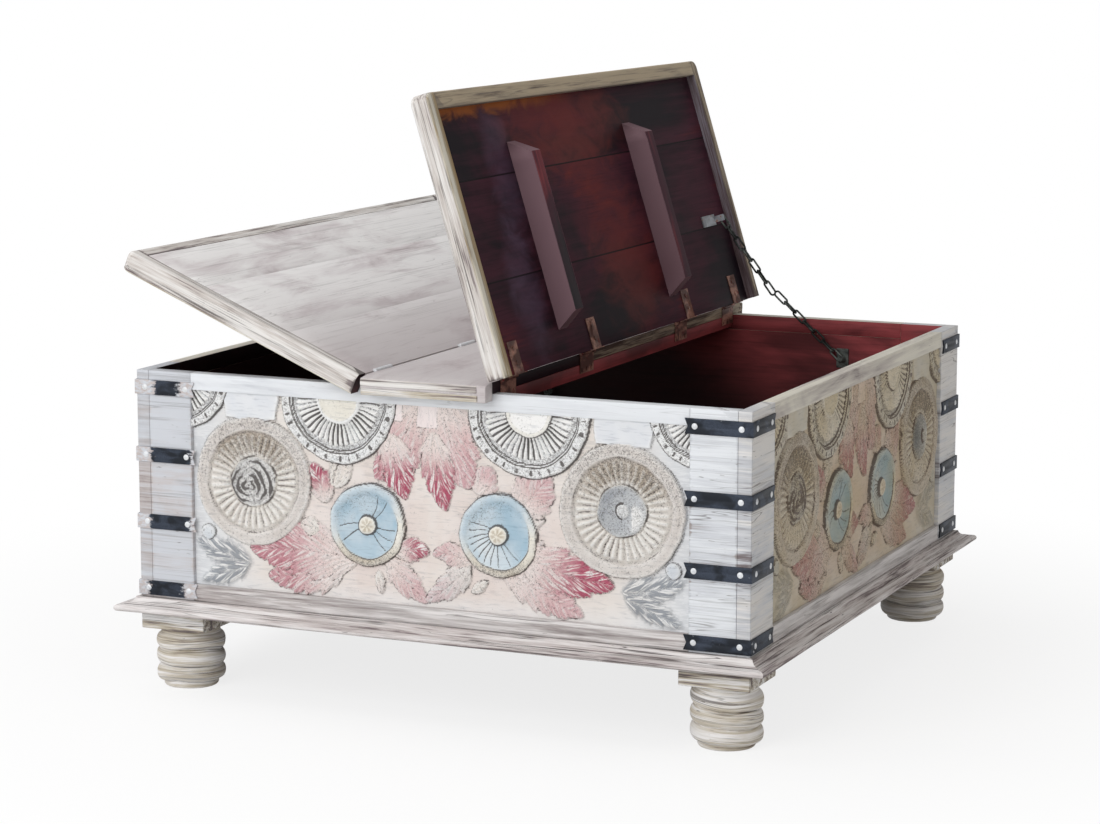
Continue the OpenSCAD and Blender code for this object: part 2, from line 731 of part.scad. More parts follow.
at_left_lid() chain_staple();  // left_chain_staple
at_left() wall_eye();  // left_wall_eye
at_left_lid() upper_links(left_open, left_rows);  // left_chain_upper_links
at_left() lower_links(left_open, left_rows);  // left_chain_lower_links
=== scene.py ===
"""Dresses the trunk coffee table: carved and painted walls, washed boards, iron and chains."""
import json
import math
from contextlib import contextmanager

import bmesh
import bpy
import numpy as np
from bpy.props import FloatProperty, FloatVectorProperty, IntProperty, PointerProperty
from mathutils import Matrix, Vector, noise


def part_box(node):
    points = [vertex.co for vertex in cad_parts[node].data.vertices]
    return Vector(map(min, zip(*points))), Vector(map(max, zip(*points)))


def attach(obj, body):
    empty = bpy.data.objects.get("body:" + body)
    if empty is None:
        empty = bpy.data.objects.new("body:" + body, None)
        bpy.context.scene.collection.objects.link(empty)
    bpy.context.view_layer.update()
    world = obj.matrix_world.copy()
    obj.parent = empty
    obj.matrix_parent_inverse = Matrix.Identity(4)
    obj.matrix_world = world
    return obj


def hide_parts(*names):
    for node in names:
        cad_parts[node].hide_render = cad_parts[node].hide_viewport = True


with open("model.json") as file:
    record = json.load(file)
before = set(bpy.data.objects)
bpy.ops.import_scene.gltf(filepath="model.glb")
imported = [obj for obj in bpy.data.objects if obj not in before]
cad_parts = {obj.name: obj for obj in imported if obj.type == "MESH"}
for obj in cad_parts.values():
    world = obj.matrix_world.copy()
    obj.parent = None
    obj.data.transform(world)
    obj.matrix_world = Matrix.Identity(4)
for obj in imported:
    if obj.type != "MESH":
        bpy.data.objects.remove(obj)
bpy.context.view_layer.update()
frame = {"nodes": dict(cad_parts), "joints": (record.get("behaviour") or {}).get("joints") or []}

bl_info = {
    "name": "Trunk coffee table",
    "version": (1, 0, 0),
    "blender": (4, 5, 0),
    "location": "3D View > Sidebar > Trunk table",
    "description": "Models and finishes the pieces of a carved trunk coffee table",
    "category": "Object",
}

SIDES = {"front": 0, "right": 90, "back": 180, "left": 270}
CORNERS = ("front_left", "front_right", "back_right", "back_left")
JOINTS = {joint["name"]: joint for joint in frame["joints"]}

# The box, in metres, from the frame
PANEL_LO, PANEL_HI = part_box("front_carved_panel")
FRAME_LO, FRAME_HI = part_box("front_bottom_rail")
WALL_OUT = -FRAME_LO.y
WALL_IN = -FRAME_HI.y
WALL_Z = FRAME_LO.z
WALL_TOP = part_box("front_top_rail")[1].z
TOP_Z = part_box("centre_strip")[1].z

# Depth of the carving's ground, the seams' distances from the hinge and the feet's heights
GROUND_DEPTH = 0.006
LID_SEAMS = (0.118, 0.248)
FOOT_BLOCK = 0.025
FOOT_TURNED = 0.08

# The strip's dark corner, the width of its lips, their upper layer and the round of their ends
END_BLOCK = 0.012
LIP = 0.0214
TOP_LAYER = 0.0125
STRIP_ROUND = 0.007

# The round of a rim's free corner, how far a batten's ends slope, and what a lid's boards overlap
RIM_ROUND = 0.012
BATTEN_SLOPE = 0.02
BOARD_LAP = 0.0004

# Points closer than this are one
MERGE = 1e-6


# Sizes and colours that a user would change

def srgb(code):
    """A colour written as in a paint chart, made linear."""
    parts = [int(code[i:i + 2], 16) / 255 for i in (1, 3, 5)]
    return tuple(c / 12.92 if c <= 0.04045 else ((c + 0.055) / 1.055) ** 2.4 for c in parts)


def length(name, default, about):
    return FloatProperty(name=name, description=about, default=default, unit="LENGTH", precision=4)


def colour(name, code, about):
    return FloatVectorProperty(name=name, description=about, default=srgb(code), size=3,
                               subtype="COLOR", min=0, max=1)


class TrunkSizes(bpy.types.PropertyGroup):
    """Sizes of the worked shapes"""
    carving_cell: length("Carving cell", 0.00142, "Spacing of the points on a carved panel")
    board_round: length("Board rounding", 0.0012, "Rounding of the boards' edges")
    board_cell: length("Board cell", 0.018, "Spacing of the loops on a board")
    board_waves: length("Board waves", 0.00035, "How uneven the hand-planed boards are")
    iron_round: length("Iron rounding", 0.0004, "Rounding of the iron's edges")
    foot_waves: length("Foot waves", 0.0014, "How uneven the turned rings are")
    foot_steps: IntProperty(name="Foot steps", description="Faces round a turned foot", default=72)


class TrunkColours(bpy.types.PropertyGroup):
    """Colours of the finishes"""
    wash: colour("Wash", "#dde0e4", "Whitewash where it is thick")
    wash_thin: colour("Thin wash", "#c3c6cc", "Whitewash rubbed thin")
    # This colour also darkens a medallion's groove and its flute troughs as painted shade
    bare_wood: colour("Bare wood", "#9b9391", "Wood where the wash has worn through")
    lid_wash: colour("Lid wash", "#e9e7e6", "Wash on the lids and the strip")
    lid_thin: colour("Thin lid wash", "#cbc3c4", "Mauve grey where that wash is thin")
    lid_bare: colour("Bare lid", "#a89e9f", "Where the lids' wash has worn through")
    base_wash: colour("Base wash", "#dedad9", "Wash on the base moulding and the lower rails")
    base_thin: colour("Thin base wash", "#b9b0ae", "Where that wash is thin")
    base_bare: colour("Bare base", "#766b6c", "Where that wash has worn through")
    rim_wash: colour("Rim wash", "#dcd9d6", "White paint on the rims' outer faces")
    rim_thin: colour("Thin rim wash", "#bab2ac", "That paint rubbed thin")
    cream: colour("Cream", "#dcd7ca", "Cream paint under the rims")
    cream_thin: colour("Thin cream", "#b9ae9a", "Cream paint rubbed thin")
    honey_wood: colour("Honey wood", "#957c52", "Yellow-brown wood under the cream")
    # The olive colours on the raised lid's back and outer rims: partly their own worn paint, partly painted
    # shade darker than the closed lid's white
    olive: colour("Olive", "#b5a58c", "Rubbed paint on the raised lid's outer rim")
    olive_thin: colour("Thin olive", "#7f7263", "That paint rubbed thin")
    umber: colour("Umber", "#4b392f", "Brown wood under it")
    carved_ground: colour("Carved ground", "#dad3cc", "Beige paint on the carving's ground")
    rose: colour("Rose", "#d5b4b4", "Rose paint on the leaves")
    crimson: colour("Crimson", "#a33556", "Darkest strokes on the leaves")
    dish_blue: colour("Dish blue", "#9cb6c6", "Pale blue paint in the dishes")
    # This colour is also laid on the carvings' ridges, a medallion's flute crests and the nubbed boss as
    # painted highlight
    chalk_and_highlight: colour("Chalk", "#ecebe9", "White paint on the flutes")
    slate_wash: colour("Slate wash", "#c2c8cf", "Blue-grey paint on the outer leaves")
    # This colour also darkens the nubbed boss towards its left as painted shade
    slate_deep: colour("Deep slate", "#57626f", "Darkest strokes on the outer leaves")
    # This colour also darkens the carvings' hollows and each boss's rim as painted shade
    ink_and_shade: colour("Ink", "#3f3835", "Dirt in the carved lines")
    # The glaze for the sides and the back: partly older, warmer paint, partly painted shade against the
    # front
    age: colour("Age", "#d8c69f", "Brown glaze over the side and back carvings")
    maroon: colour("Maroon", "#a0464a", "Stain inside the trunk")
    maroon_deep: colour("Deep maroon", "#5a2427", "Darker stain inside the trunk")
    # The floor's stain is partly painted shade, far darker than the walls' deep in the trunk
    floor_stain: colour("Floor stain", "#2c1315", "Stain on the trunk's floor")
    lid_deep: colour("Deep lid stain", "#150b14", "Darkest stain under the lids")
    lid_dark: colour("Dark lid stain", "#45222f", "Common stain under the lids")
    ember: colour("Ember", "#74302d", "Redder stain where it is thin")
    worn_orange: colour("Worn orange", "#a5602f", "Bare wood beside the raised rim")
    mauve: colour("Mauve", "#84676f", "Stain on the battens' sides")
    # This lilac is a painted sheen on the dark stain under the lids
    lilac_sheen: colour("Dusk", "#5d4a5f", "Lilac bloom on the stain beside a batten")
    slate_iron: colour("Slate iron", "#22262d", "Iron of the corner straps")
    slate_sheen: colour("Slate sheen", "#3c4350", "Where that iron is rubbed")
    hinge_iron: colour("Hinge iron", "#5a3b33", "Rusted iron of the hinges")
    copper: colour("Copper", "#b08474", "Where the hinges are rubbed")
    chain_iron: colour("Chain iron", "#2c2f2e", "Iron of the chains")
    chain_sheen: colour("Chain sheen", "#747a76", "Where the chains are rubbed")
    bracket: colour("Bracket", "#8e9197", "Grey iron of the chains' staples")
    peel: colour("Peel", "#d2cbdc", "Lilac paint peeling inside the back rim")
    nail_head: colour("Nail head", "#d8dadc", "Whitewashed nail heads")


class TrunkStage(bpy.types.PropertyGroup):
    """Camera and light"""
    eye: FloatVectorProperty(name="Eye", description="Place of the camera", size=3, subtype="TRANSLATION",
                             unit="LENGTH", default=(1.6679, -3.8112, 1.0078))
    yaw: FloatProperty(name="Yaw", description="Turn of the camera", subtype="ANGLE",
                       unit="ROTATION", default=math.radians(23.977))
    pitch: FloatProperty(name="Pitch", description="Tilt of the camera below the horizon",
                         subtype="ANGLE", unit="ROTATION", default=math.radians(9.23))
    lens: FloatProperty(name="Lens", description="Focal length on a 36 mm sensor", unit="CAMERA",
                        default=100.62)
    key: FloatProperty(name="Key", description="Power of the large front lamp", unit="POWER",
                       default=100)
    fill: FloatProperty(name="Fill", description="Power of the right lamp", unit="POWER", default=10)
    top: FloatProperty(name="Top", description="Power of the lamp above the lids", unit="POWER", default=34)
    sky: FloatProperty(name="Sky", description="Strength of the even light", default=0.42)


# Helpers for modelling

def deselect():
    bpy.ops.object.select_all(action="DESELECT")


def only(obj):
    """Makes one object the selected and active one."""
    deselect()
    obj.select_set(True)
    bpy.context.view_layer.objects.active = obj


def start(primitive, name, **where):
    """Adds a mesh primitive and names it."""
    deselect()
    getattr(bpy.ops.mesh, primitive)(**where)
    obj = bpy.context.object
    obj.name = obj.data.name = name
    bpy.ops.object.transform_apply(location=True, rotation=True, scale=True)
    return obj


@contextmanager
def editing(obj, kind="EDGE", pick=lambda part: True):
    """Edit mode, with the parts that pick accepts selected."""
    only(obj)
    bpy.ops.object.mode_set(mode="EDIT")
    bpy.ops.mesh.select_mode(type=kind)
    bpy.ops.mesh.select_all(action="DESELECT")
    shape = bmesh.from_edit_mesh(obj.data)
    parts = {"VERT": shape.verts, "EDGE": shape.edges, "FACE": shape.faces}[kind]
    for part in [p for p in parts if pick(p)]:
        part.select_set(True)
    shape.select_flush_mode()
    bmesh.update_edit_mesh(obj.data)
    yield shape
    bpy.ops.object.mode_set(mode="OBJECT")


def places(obj):
    """The points of a mesh as rows of x, y and z."""
    found = np.empty(len(obj.data.vertices) * 3, np.float32)
    obj.data.vertices.foreach_get("co", found)
    return found.reshape(-1, 3).astype(float)


def move_points(obj, points):
    """Puts the points of a mesh at new places."""
    obj.data.vertices.foreach_set("co", np.asarray(points, np.float32).ravel())
    obj.data.update()


def mark(obj, name, values):
    """Keeps a number or a direction for each point, for the finishes to read."""
    values = np.asarray(values, np.float32)
    kind, key = ("FLOAT", "value") if values.ndim == 1 else ("FLOAT_VECTOR", "vector")
    made = obj.data.attributes.new(name, kind, "POINT")
    made.data.foreach_set(key, values.ravel())


def along_edge(edge, axis):
    span = edge.verts[1].co - edge.verts[0].co
    return abs(span[axis]) > 0.99 * span.length


def loops(obj, axis, step):
    """Cuts every long edge along an axis into steps, which puts loops round the piece."""
    whole = obj.dimensions[axis]
    cuts = round(whole / step) - 1
    if cuts < 1:
        return
    with editing(obj, "EDGE", lambda e: along_edge(e, axis) and e.calc_length() > 0.6 * whole):
        bpy.ops.mesh.subdivide(number_cuts=cuts)


def bevel(obj, size, segments=2, pick=lambda part: True):
    """Rounds the edges that pick accepts."""
    with editing(obj, "EDGE", pick):
        bpy.ops.mesh.bevel(offset=size, segments=segments, affect="EDGES", clamp_overlap=True)


def mark_edges(obj, lo, hi):
    """Keeps how far each point of a board lies from the board's nearest edge."""
    gaps = np.sort(np.minimum(places(obj) - np.array(lo), np.array(hi) - places(obj)), axis=1)
    mark(obj, "edge", np.maximum(gaps[:, 1], 0))


def cuboid(name, lo, hi):
    """A plain box between two corners."""
    return start("primitive_cube_add", name, size=1, location=(lo + hi) / 2, scale=hi - lo)


def block(name, lo, hi, rounding, cell):
    """A board between two corners, with rounded edges and loops for its unevenness."""
    lo, hi = Vector(lo), Vector(hi)
    obj = cuboid(name, lo, hi)
    bevel(obj, rounding)
    for axis in range(3):
        loops(obj, axis, cell)
    mark_edges(obj, lo, hi)
    return obj


def weather(obj, size, scale, seed):
    """Moves points inward a little, so that nothing is machine flat."""
    points = places(obj)
    normals = np.empty(len(points) * 3, np.float32)
    obj.data.vertices.foreach_get("normal", normals)
    shift = Vector((seed * 1.7, seed * -2.3, seed * 0.9))
    waves = (np.array([noise.noise(Vector(p) * scale + shift) for p in points]) - 1) / 2
    move_points(obj, points + normals.reshape(-1, 3) * (waves * size)[:, None])


def grain(obj, along, seed):
    """Keeps where each point lies along the grain, across it and through the board."""
    along = Vector(along)
    across = Vector((0, 0, 1)) if abs(along.z) < 0.5 else Vector((1, 0, 0))
    turned = places(obj) @ np.array([along, across, along.cross(across)]).T
    mark(obj, "grain", turned + np.array([seed * 0.731, seed * 0.317, seed * 0.553]))


def wrapped_grain(obj, seed):
    """Grain that runs on round an upright corner."""
    x, y, z = places(obj).T
    mark(obj, "grain", np.stack([x + y, z, np.full_like(z, seed)], axis=1))


def unworn(obj):
    """Keeps a piece's edges as thickly painted as its faces."""
    obj.data.attributes.remove(obj.data.attributes["edge"])
    mark(obj, "edge", np.full(len(obj.data.vertices), 0.02))


def joined(name, parts):
    """One piece made of several."""
    deselect()
    for part in parts:
        part.select_set(True)
    bpy.context.view_layer.objects.active = parts[0]
    if len(parts) > 1:
        bpy.ops.object.join()
    whole = bpy.context.view_layer.objects.active
    whole.name = whole.data.name = name
    return whole


def coat(obj, *materials, choose=None):
    """Lays the finishes on a piece; choose picks one by a face's middle and direction."""
    obj.data.materials.clear()
    for material in materials:
        obj.data.materials.append(material)
    if choose:
        picks = [choose(face.center, face.normal) for face in obj.data.polygons]
        obj.data.polygons.foreach_set("material_index", picks)


def finish(obj, node, body, smooth=35):
    """Gives a piece its shading and its body, and hides the node that it stands for."""
    only(obj)
    bpy.ops.object.shade_smooth_by_angle(angle=math.radians(smooth))
    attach(obj, body)
    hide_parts(node)
    return obj


def solids(node, into=Matrix.Identity(4)):
    """The corners of each separate solid of a node, in a frame of its own."""
    shape = bmesh.new()
    shape.from_mesh(frame["nodes"][node].data)
    bmesh.ops.remove_doubles(shape, verts=shape.verts, dist=MERGE)
    left, found = set(shape.verts), []
    while left:
        group, fresh = set(), {left.pop()}
        while fresh:
            vert = fresh.pop()
            group.add(vert)
            linked = {edge.other_vert(vert) for edge in vert.link_edges} & left
            left -= linked
            fresh |= linked
        spots = np.array([into @ vert.co for vert in group])
        found.append((Vector(spots.min(0)), Vector(spots.max(0))))
    shape.free()
    return sorted(found, key=lambda box: tuple(round(c, 4) for c in box[0]))


def turned(side):
    """From the front wall's place to another wall's."""
    return Matrix.Rotation(math.radians(SIDES[side]), 4, "Z")


def lid_frame(side):
    """From a closed lid's own frame, with its hinge line as the Y axis, to its place at rest."""
    joint = JOINTS[side + "_lid_hinge"]
    at_hinge = Matrix.Translation(Vector((abs(joint["pos_m"][0]), 0, joint["pos_m"][2])))
    leaning = at_hinge @ Matrix.Rotation(math.radians(joint["range_deg"][0]), 4, "Y")
    mirror = Matrix.Scale(-1, 4, (1, 0, 0)) if side == "left" else Matrix.Identity(4)
    return mirror @ leaning


def onto_lid(obj, side):
    """Moves a piece made on a closed lid to where the lid stands."""
    obj.data.transform(lid_frame(side))
    if side == "left":
        with editing(obj, "FACE"):
            bpy.ops.mesh.flip_normals()
    return obj


# Helpers for finishes

class Wire:
    """The value of a socket, for use in sums and products as if it were a number."""

    def __init__(self, sheet, socket):
        self.sheet, self.socket = sheet, socket

    def __add__(self, other):
        return self.sheet.math("ADD", self, other)

    def __sub__(self, other):
        return self.sheet.math("SUBTRACT", self, other)

    def __rsub__(self, other):
        return self.sheet.math("SUBTRACT", other, self)

    def __mul__(self, other):
        return self.sheet.math("MULTIPLY", self, other)

    def __truediv__(self, other):
        return self.sheet.math("DIVIDE", self, other)

    def __pow__(self, other):
        return self.sheet.math("POWER", self, other)

    def __abs__(self):
        return self.sheet.math("ABSOLUTE", self)

    def larger(self, other):
        return self.sheet.math("MAXIMUM", self, other)

    def toward(self, other, share):
        """A number between this one and another."""
        return self + (other - self) * share

    def step(self, low, high, start=0.0, end=1.0):
        """Rises smoothly from start to end as this goes from low to high."""
        node = self.sheet.add("ShaderNodeMapRange", interpolation_type="SMOOTHSTEP")
        self.sheet.feed_all(node.inputs, (self, low, high, start, end))
        return self.sheet.wire(node.outputs[0])

    def parts(self):
        """The three parts of a vector."""
        node = self.sheet.add("ShaderNodeSeparateXYZ")
        self.sheet.feed(node.inputs[0], self)
        return [self.sheet.wire(part) for part in node.outputs]


class Sheet:
    """A node tree, drawn by short calls that give back wires."""

    def __init__(self, tree):
        self.tree = tree

    def add(self, kind, **settings):
        node = self.tree.nodes.new(kind)
        for key, value in settings.items():
            setattr(node, key, value)
        return node

    def wire(self, socket):
        return Wire(self, socket)

    def feed(self, socket, value):
        """Links a wire or a socket to a socket, or sets it to a constant."""
        value = getattr(value, "socket", value)
        if isinstance(value, bpy.types.NodeSocket):
            self.tree.links.new(value, socket)
        elif socket.type == "RGBA":
            socket.default_value = (*value[:3], 1)
        else:
            socket.default_value = value

    def feed_all(self, sockets, values):
        for socket, value in zip(sockets, values):
            self.feed(socket, value)

    def feed_named(self, sockets, values):
        for name, value in values.items():
            self.feed(sockets[name], value)

    def math(self, operation, *values):
        node = self.add("ShaderNodeMath", operation=operation)
        self.feed_all(node.inputs, values)
        return self.wire(node.outputs[0])

    def noise(self, vector, sizes, detail=3.0, roughness=0.55, distortion=0.0):
        """Cloudy noise, with a cell of its own size along each axis."""
        scaled = self.add("ShaderNodeVectorMath", operation="MULTIPLY")
        self.feed_all(scaled.inputs, (vector, sizes))
        node = self.add("ShaderNodeTexNoise")
        self.feed_named(node.inputs, {"Vector": scaled.outputs[0], "Scale": 1.0, "Detail": detail,
                                      "Roughness": roughness, "Distortion": distortion})
        return self.wire(node.outputs["Fac"])

    def mix(self, amount, first, second, blend="MIX"):
        """A colour between two others."""
        node = self.add("ShaderNodeMix", data_type="RGBA", blend_type=blend)
        self.feed_all([node.inputs[i] for i in MIX_SOCKETS], (amount, first, second))
        return self.wire(node.outputs[2])

    def attribute(self, name, output="Vector"):
        return self.wire(self.add("ShaderNodeAttribute", attribute_name=name).outputs[output])

    def place(self):
        """Where a point lies on the object."""
        return self.wire(self.add("ShaderNodeTexCoord").outputs["Object"])

    def group(self, kind, **inputs):
        """Puts a shared shader group on the sheet, and gives its outputs by name."""
        node = self.add("ShaderNodeGroup", node_tree=GROUPS[kind])
        self.feed_named(node.inputs, {name.capitalize(): value for name, value in inputs.items()})
        return {end.name: self.wire(end) for end in node.outputs}


class GroupSheet(Sheet):
    """A new shader group, whose sockets are listed by kind."""

    def __init__(self, name, inputs, outputs):
        super().__init__(bpy.data.node_groups.new(name, "ShaderNodeTree"))
        for way, kinds in (("INPUT", inputs), ("OUTPUT", outputs)):
            for kind, titles in kinds.items():
                for title in titles.split():
                    self.tree.interface.new_socket(title, in_out=way, socket_type="NodeSocket" + kind)
        self.given = {end.name: self.wire(end) for end in self.add("NodeGroupInput").outputs}
        self.ends = self.add("NodeGroupOutput").inputs
        GROUPS[name] = self.tree


class Paint(Sheet):
    """A new material with only its Principled shader and its output."""

    def __init__(self, name):
        self.material = bpy.data.materials.new(name)
        self.material.use_nodes = True
        super().__init__(self.material.node_tree)
        self.shader = self.tree.nodes["Principled BSDF"]

    def shade(self, colour, roughness, height, depth, metallic=0.0, specular=0.5):
        """Feeds the shader; depth is the bump's strength and its height in metres."""
        bump = self.add("ShaderNodeBump")
        self.feed_named(bump.inputs, {"Height": height, "Strength": depth[0], "Distance": depth[1]})
        self.feed_named(self.shader.inputs, {
            "Base Color": colour, "Roughness": roughness, "Metallic": metallic,
            "Specular IOR Level": specular, "Normal": bump.outputs[0]})
        return self.material


GROUPS, FINISH = {}, {}
MIX_SOCKETS = 0, 6, 7
DIRT = (0.085, 0.07, 0.068)
# Near-black painted shade inside the trunk, low down and to the left
INSIDE_SHADE = (0.004, 0.002, 0.002)
SEAM = (0.004, 0.002, 0.003)

# Strength and height in metres of each finish's bump
WASH_BUMP = 0.55, 0.0012
STAIN_BUMP = 0.35, 0.0008
UNDER_BUMP = 0.3, 0.0008
IRON_BUMP = 0.5, 0.0007
CARVED_BUMP = 0.4, 0.0008


def washed_wood_group():
    """Brushed paint on old boards: streaks along the grain, worn edges, cracks and lines of dirt."""
    sheet = GroupSheet("washed_wood", {"Vector": "Grain", "Float": "Edge Wear Cracks Lines Cloud",
                                       "Color": "Thick Thin Bare"},
                       {"Color": "Colour", "Float": "Height Bareness"})
    given = sheet.given
    run, edge = given["Grain"], given["Edge"]
    streak = sheet.noise(run, (6, 120, 120), 5, 0.62, 0.3)
    hair = sheet.noise(run, (22, 560, 560), 3, 0.6)
    patch = sheet.noise(run, (3.1, 11, 11), 3, 0.55)
    soft = sheet.noise(run, (5, 16, 16), 5, 0.62, 0.8)
    coat = streak.toward(hair, 0.36).toward(soft, given["Cloud"]) * 0.78 + patch * 0.34
    worn = (edge + (streak - 0.5) * 0.012).step(0.003, 0.0005)
    coat = coat - worn * 0.055 - given["Wear"]
    tint = sheet.mix(coat.step(0.38, 0.47), given["Bare"], given["Thin"])
    tint = sheet.mix(coat.step(0.43, 0.6), tint, given["Thick"])

    def ridge(sizes, *character):
        return abs(sheet.noise(run, sizes, *character) - 0.5)

    def here_and_there(sizes, low, high):
        return sheet.noise(run, sizes, 2).step(low, high)

    crack = ridge((4, 85, 85), 2, 0.5, 0.4).step(0.011, 0.002)
    crack = crack * here_and_there((5, 16, 16), 0.5, 0.6)
    fleck = sheet.noise(run, (70, 420, 420), 2, 0.5).step(0.66, 0.72)
    fleck = fleck * here_and_there((9, 26, 26), 0.52, 0.62)
    line = ridge((1.6, 170, 170), 3, 0.55, 0.3).step(0.03, 0.004)
    line = line * here_and_there((8, 60, 60), 0.42, 0.56)
    seam = (edge + streak * 0.0016).step(0.0017, 0.0009)
    dark = (crack.larger(fleck) * given["Cracks"]).larger(line.larger(seam) * given["Lines"])
    sheet.feed_named(sheet.ends, {"Colour": sheet.mix(dark, tint, DIRT), "Height": coat * 0.6 - dark * 0.8,
                                  "Bareness": 1 - coat.step(0.36, 0.55)})


def stained_wood_group():
    """Dark stain on boards: cloudy reds over near black, with the grain faintly showing."""
    sheet = GroupSheet("stained_wood", {"Vector": "Grain", "Color": "Deep Main Warm", "Float": "Depth"},
                       {"Color": "Colour", "Float": "Height Gloss"})
    given = sheet.given
    cloud = sheet.noise(given["Grain"], (3.2, 7, 7), 4, 0.6, 0.6)
    streak = sheet.noise(given["Grain"], (4, 90, 90), 4, 0.6, 0.2)
    hair = sheet.noise(given["Grain"], (14, 480, 480), 2, 0.5)
    tone = cloud * 0.85 + streak * 0.25 - given["Depth"]
    tint = sheet.mix(tone.step(0.4, 0.62), given["Deep"], given["Main"])
    tint = sheet.mix(tone.step(0.6, 0.74), tint, given["Warm"])
    tint = sheet.mix(hair.step(0.5, 0.3, 0, 0.3), tint, given["Deep"])
    sheet.feed_named(sheet.ends, {"Colour": tint, "Height": streak * 0.6 + hair * 0.4,
                                  "Gloss": cloud.step(0.3, 0.7, 0.5, 0.66)})


def old_iron_group():
    """Forged iron: rubbed blotches, fine pits and rust or paint left on it."""
    sheet = GroupSheet("old_iron", {"Vector": "Place", "Color": "Iron Sheen Rust", "Float": "Share"},
                       {"Color": "Colour", "Float": "Height Rustiness"})
    given = sheet.given
    rubbed = sheet.noise(given["Place"], (34, 34, 60), 3, 0.5, 0.5)
    blotch = sheet.noise(given["Place"], (90, 90, 90), 4, 0.6)
    pits = sheet.noise(given["Place"], (600, 600, 600), 3, 0.6)
    rust = (blotch + given["Share"]).step(0.6, 0.68)
    tint = sheet.mix(rubbed.step(0.42, 0.62), given["Iron"], given["Sheen"])
    tint = sheet.mix(pits.step(0.6, 0.35, 0, 0.4), tint, given["Iron"])
    sheet.feed_named(sheet.ends, {"Colour": sheet.mix(rust, tint, given["Rust"]), "Rustiness": rust,
                                  "Height": blotch * 0.7 + pits * 0.3})


# Washed and painted boards: colours where the coat is thick, thin and worn through, then wear,
# cracks, lines of dirt and cloudiness
WASHES = {
    "wall": ("wash", "wash_thin", "bare_wood", 0.025, 0.6, 0.25, 0.3),
    "wall_left": ("wash_thin", "base_thin", "base_bare", -0.02, 0.7, 0.3, 0.5),
    # The aged wall and rail rows, for the sides and the back, are darker and warmer than the front's: partly
    # older paint, partly painted shade
    "aged_wall": ("rim_wash", "wash_thin", "base_bare", 0.03, 0.7, 0.3, 0.5),
    "top_rail": ("wash", "wash_thin", "bare_wood", -0.06, 0.2, 0.05, 0.8),
    "aged_rail": ("cream", "rim_thin", "base_bare", -0.02, 0.4, 0.15, 0.7),
    "low_rail": ("base_wash", "base_thin", "base_bare", -0.05, 0.5, 0.65, 0.0),
    "base": ("base_wash", "base_thin", "base_bare", 0.06, 0.8, 1.0, 0.0),
    "foot": ("lid_wash", "cream_thin", "base_bare", 0.05, 0.8, 0.8, 0.0),
    "lid_top": ("lid_wash", "lid_thin", "lid_bare", 0.0, 0.25, 0.22, 0.8),
    "rim": ("rim_wash", "rim_thin", "base_bare", 0.045, 0.5, 0.9, 0.0),
    "rim_cream": ("cream", "cream_thin", "honey_wood", -0.02, 0.4, 0.5, 0.0),
    "rim_peel": ("peel", "mauve", "lid_dark", 0.01, 0.5, 0.6, 0.0),
    # The olive and brown rim rows are partly painted shade
    "rim_olive": ("olive", "olive_thin", "umber", -0.05, 0.4, 0.5, 0.0),
    "rim_brown": ("olive", "olive_thin", "umber", 0.09, 0.4, 0.5, 0.0),
    "strip_beige": ("rim_wash", "cream_thin", "base_bare", -0.025, 0.4, 0.5, 0.0),
}

# A second colour across a lid: the axis of its own frame, where the colour starts and is full,
# how far its edge frays, its share and the colour
LID_SHADES = {
    "lid_top": (0, 0.22, 0.02, 0.0, 0.66, "lid_bare"),
    "rim_cream": (1, -0.441, -0.432, 0.005, 0.8, "honey_wood"),
}

# Stained boards: colours that are deep, common and warm, then depth and shine
STAINS = {
    "maroon": ("maroon_deep", "maroon", "ember", 0.0, 0.3),
    # The floor: its own dark stain with painted shade, far darker than the walls'
    "floor": ("lid_deep", "floor_stain", "maroon_deep", 0.0, 0.2),
    "batten": ("mauve", "mauve", "mauve", -0.14, 0.3),
    "batten_low": ("lid_deep", "lid_dark", "maroon", 0.0, 0.2),
}

# Iron: its colour, where it is rubbed and where it is rusty or painted, then rust, roughness and metal
IRONS = {
    "strap": ("slate_iron", "slate_sheen", "wash_thin", -0.06, 0.55, 0.7),
    "hinge": ("hinge_iron", "copper", "ember", 0.0, 0.55, 0.4),
    "chain": ("chain_iron", "chain_sheen", "hinge_iron", -0.05, 0.5, 0.7),
    "bracket": ("bracket", "slate_wash", "copper", 0.02, 0.5, 0.3),
    "nail": ("nail_head", "wash", "wash_thin", 0.05, 0.5, 0.2),
}

# Patches under a lid: distance from the hinge, place along the lid, reach across and along, and
# strength, which is below 0 for a lilac patch; red patches are worn stain, lilac ones a painted sheen
WORN_AND_SHEEN_PATCHES = [(0.30, -0.05, 0.07, 0.2, 0.7), (0.10, 0.05, 0.1, 0.12, 0.6), (0.2, 0.0, 0.12, 0.1, 0.3),
                (0.1, -0.3, 0.1, 0.045, -0.6), (0.25, -0.27, 0.1, 0.045, -0.5)]

# Parts of the left corner's straps that no whitewash covers: height, from x, to x, in metres
BARE_STRAPS = [(0.4, -0.398, -0.362), (0.311, -0.405, -0.345), (0.222, -0.407, -0.348),
               (0.134, -0.412, -0.36)]


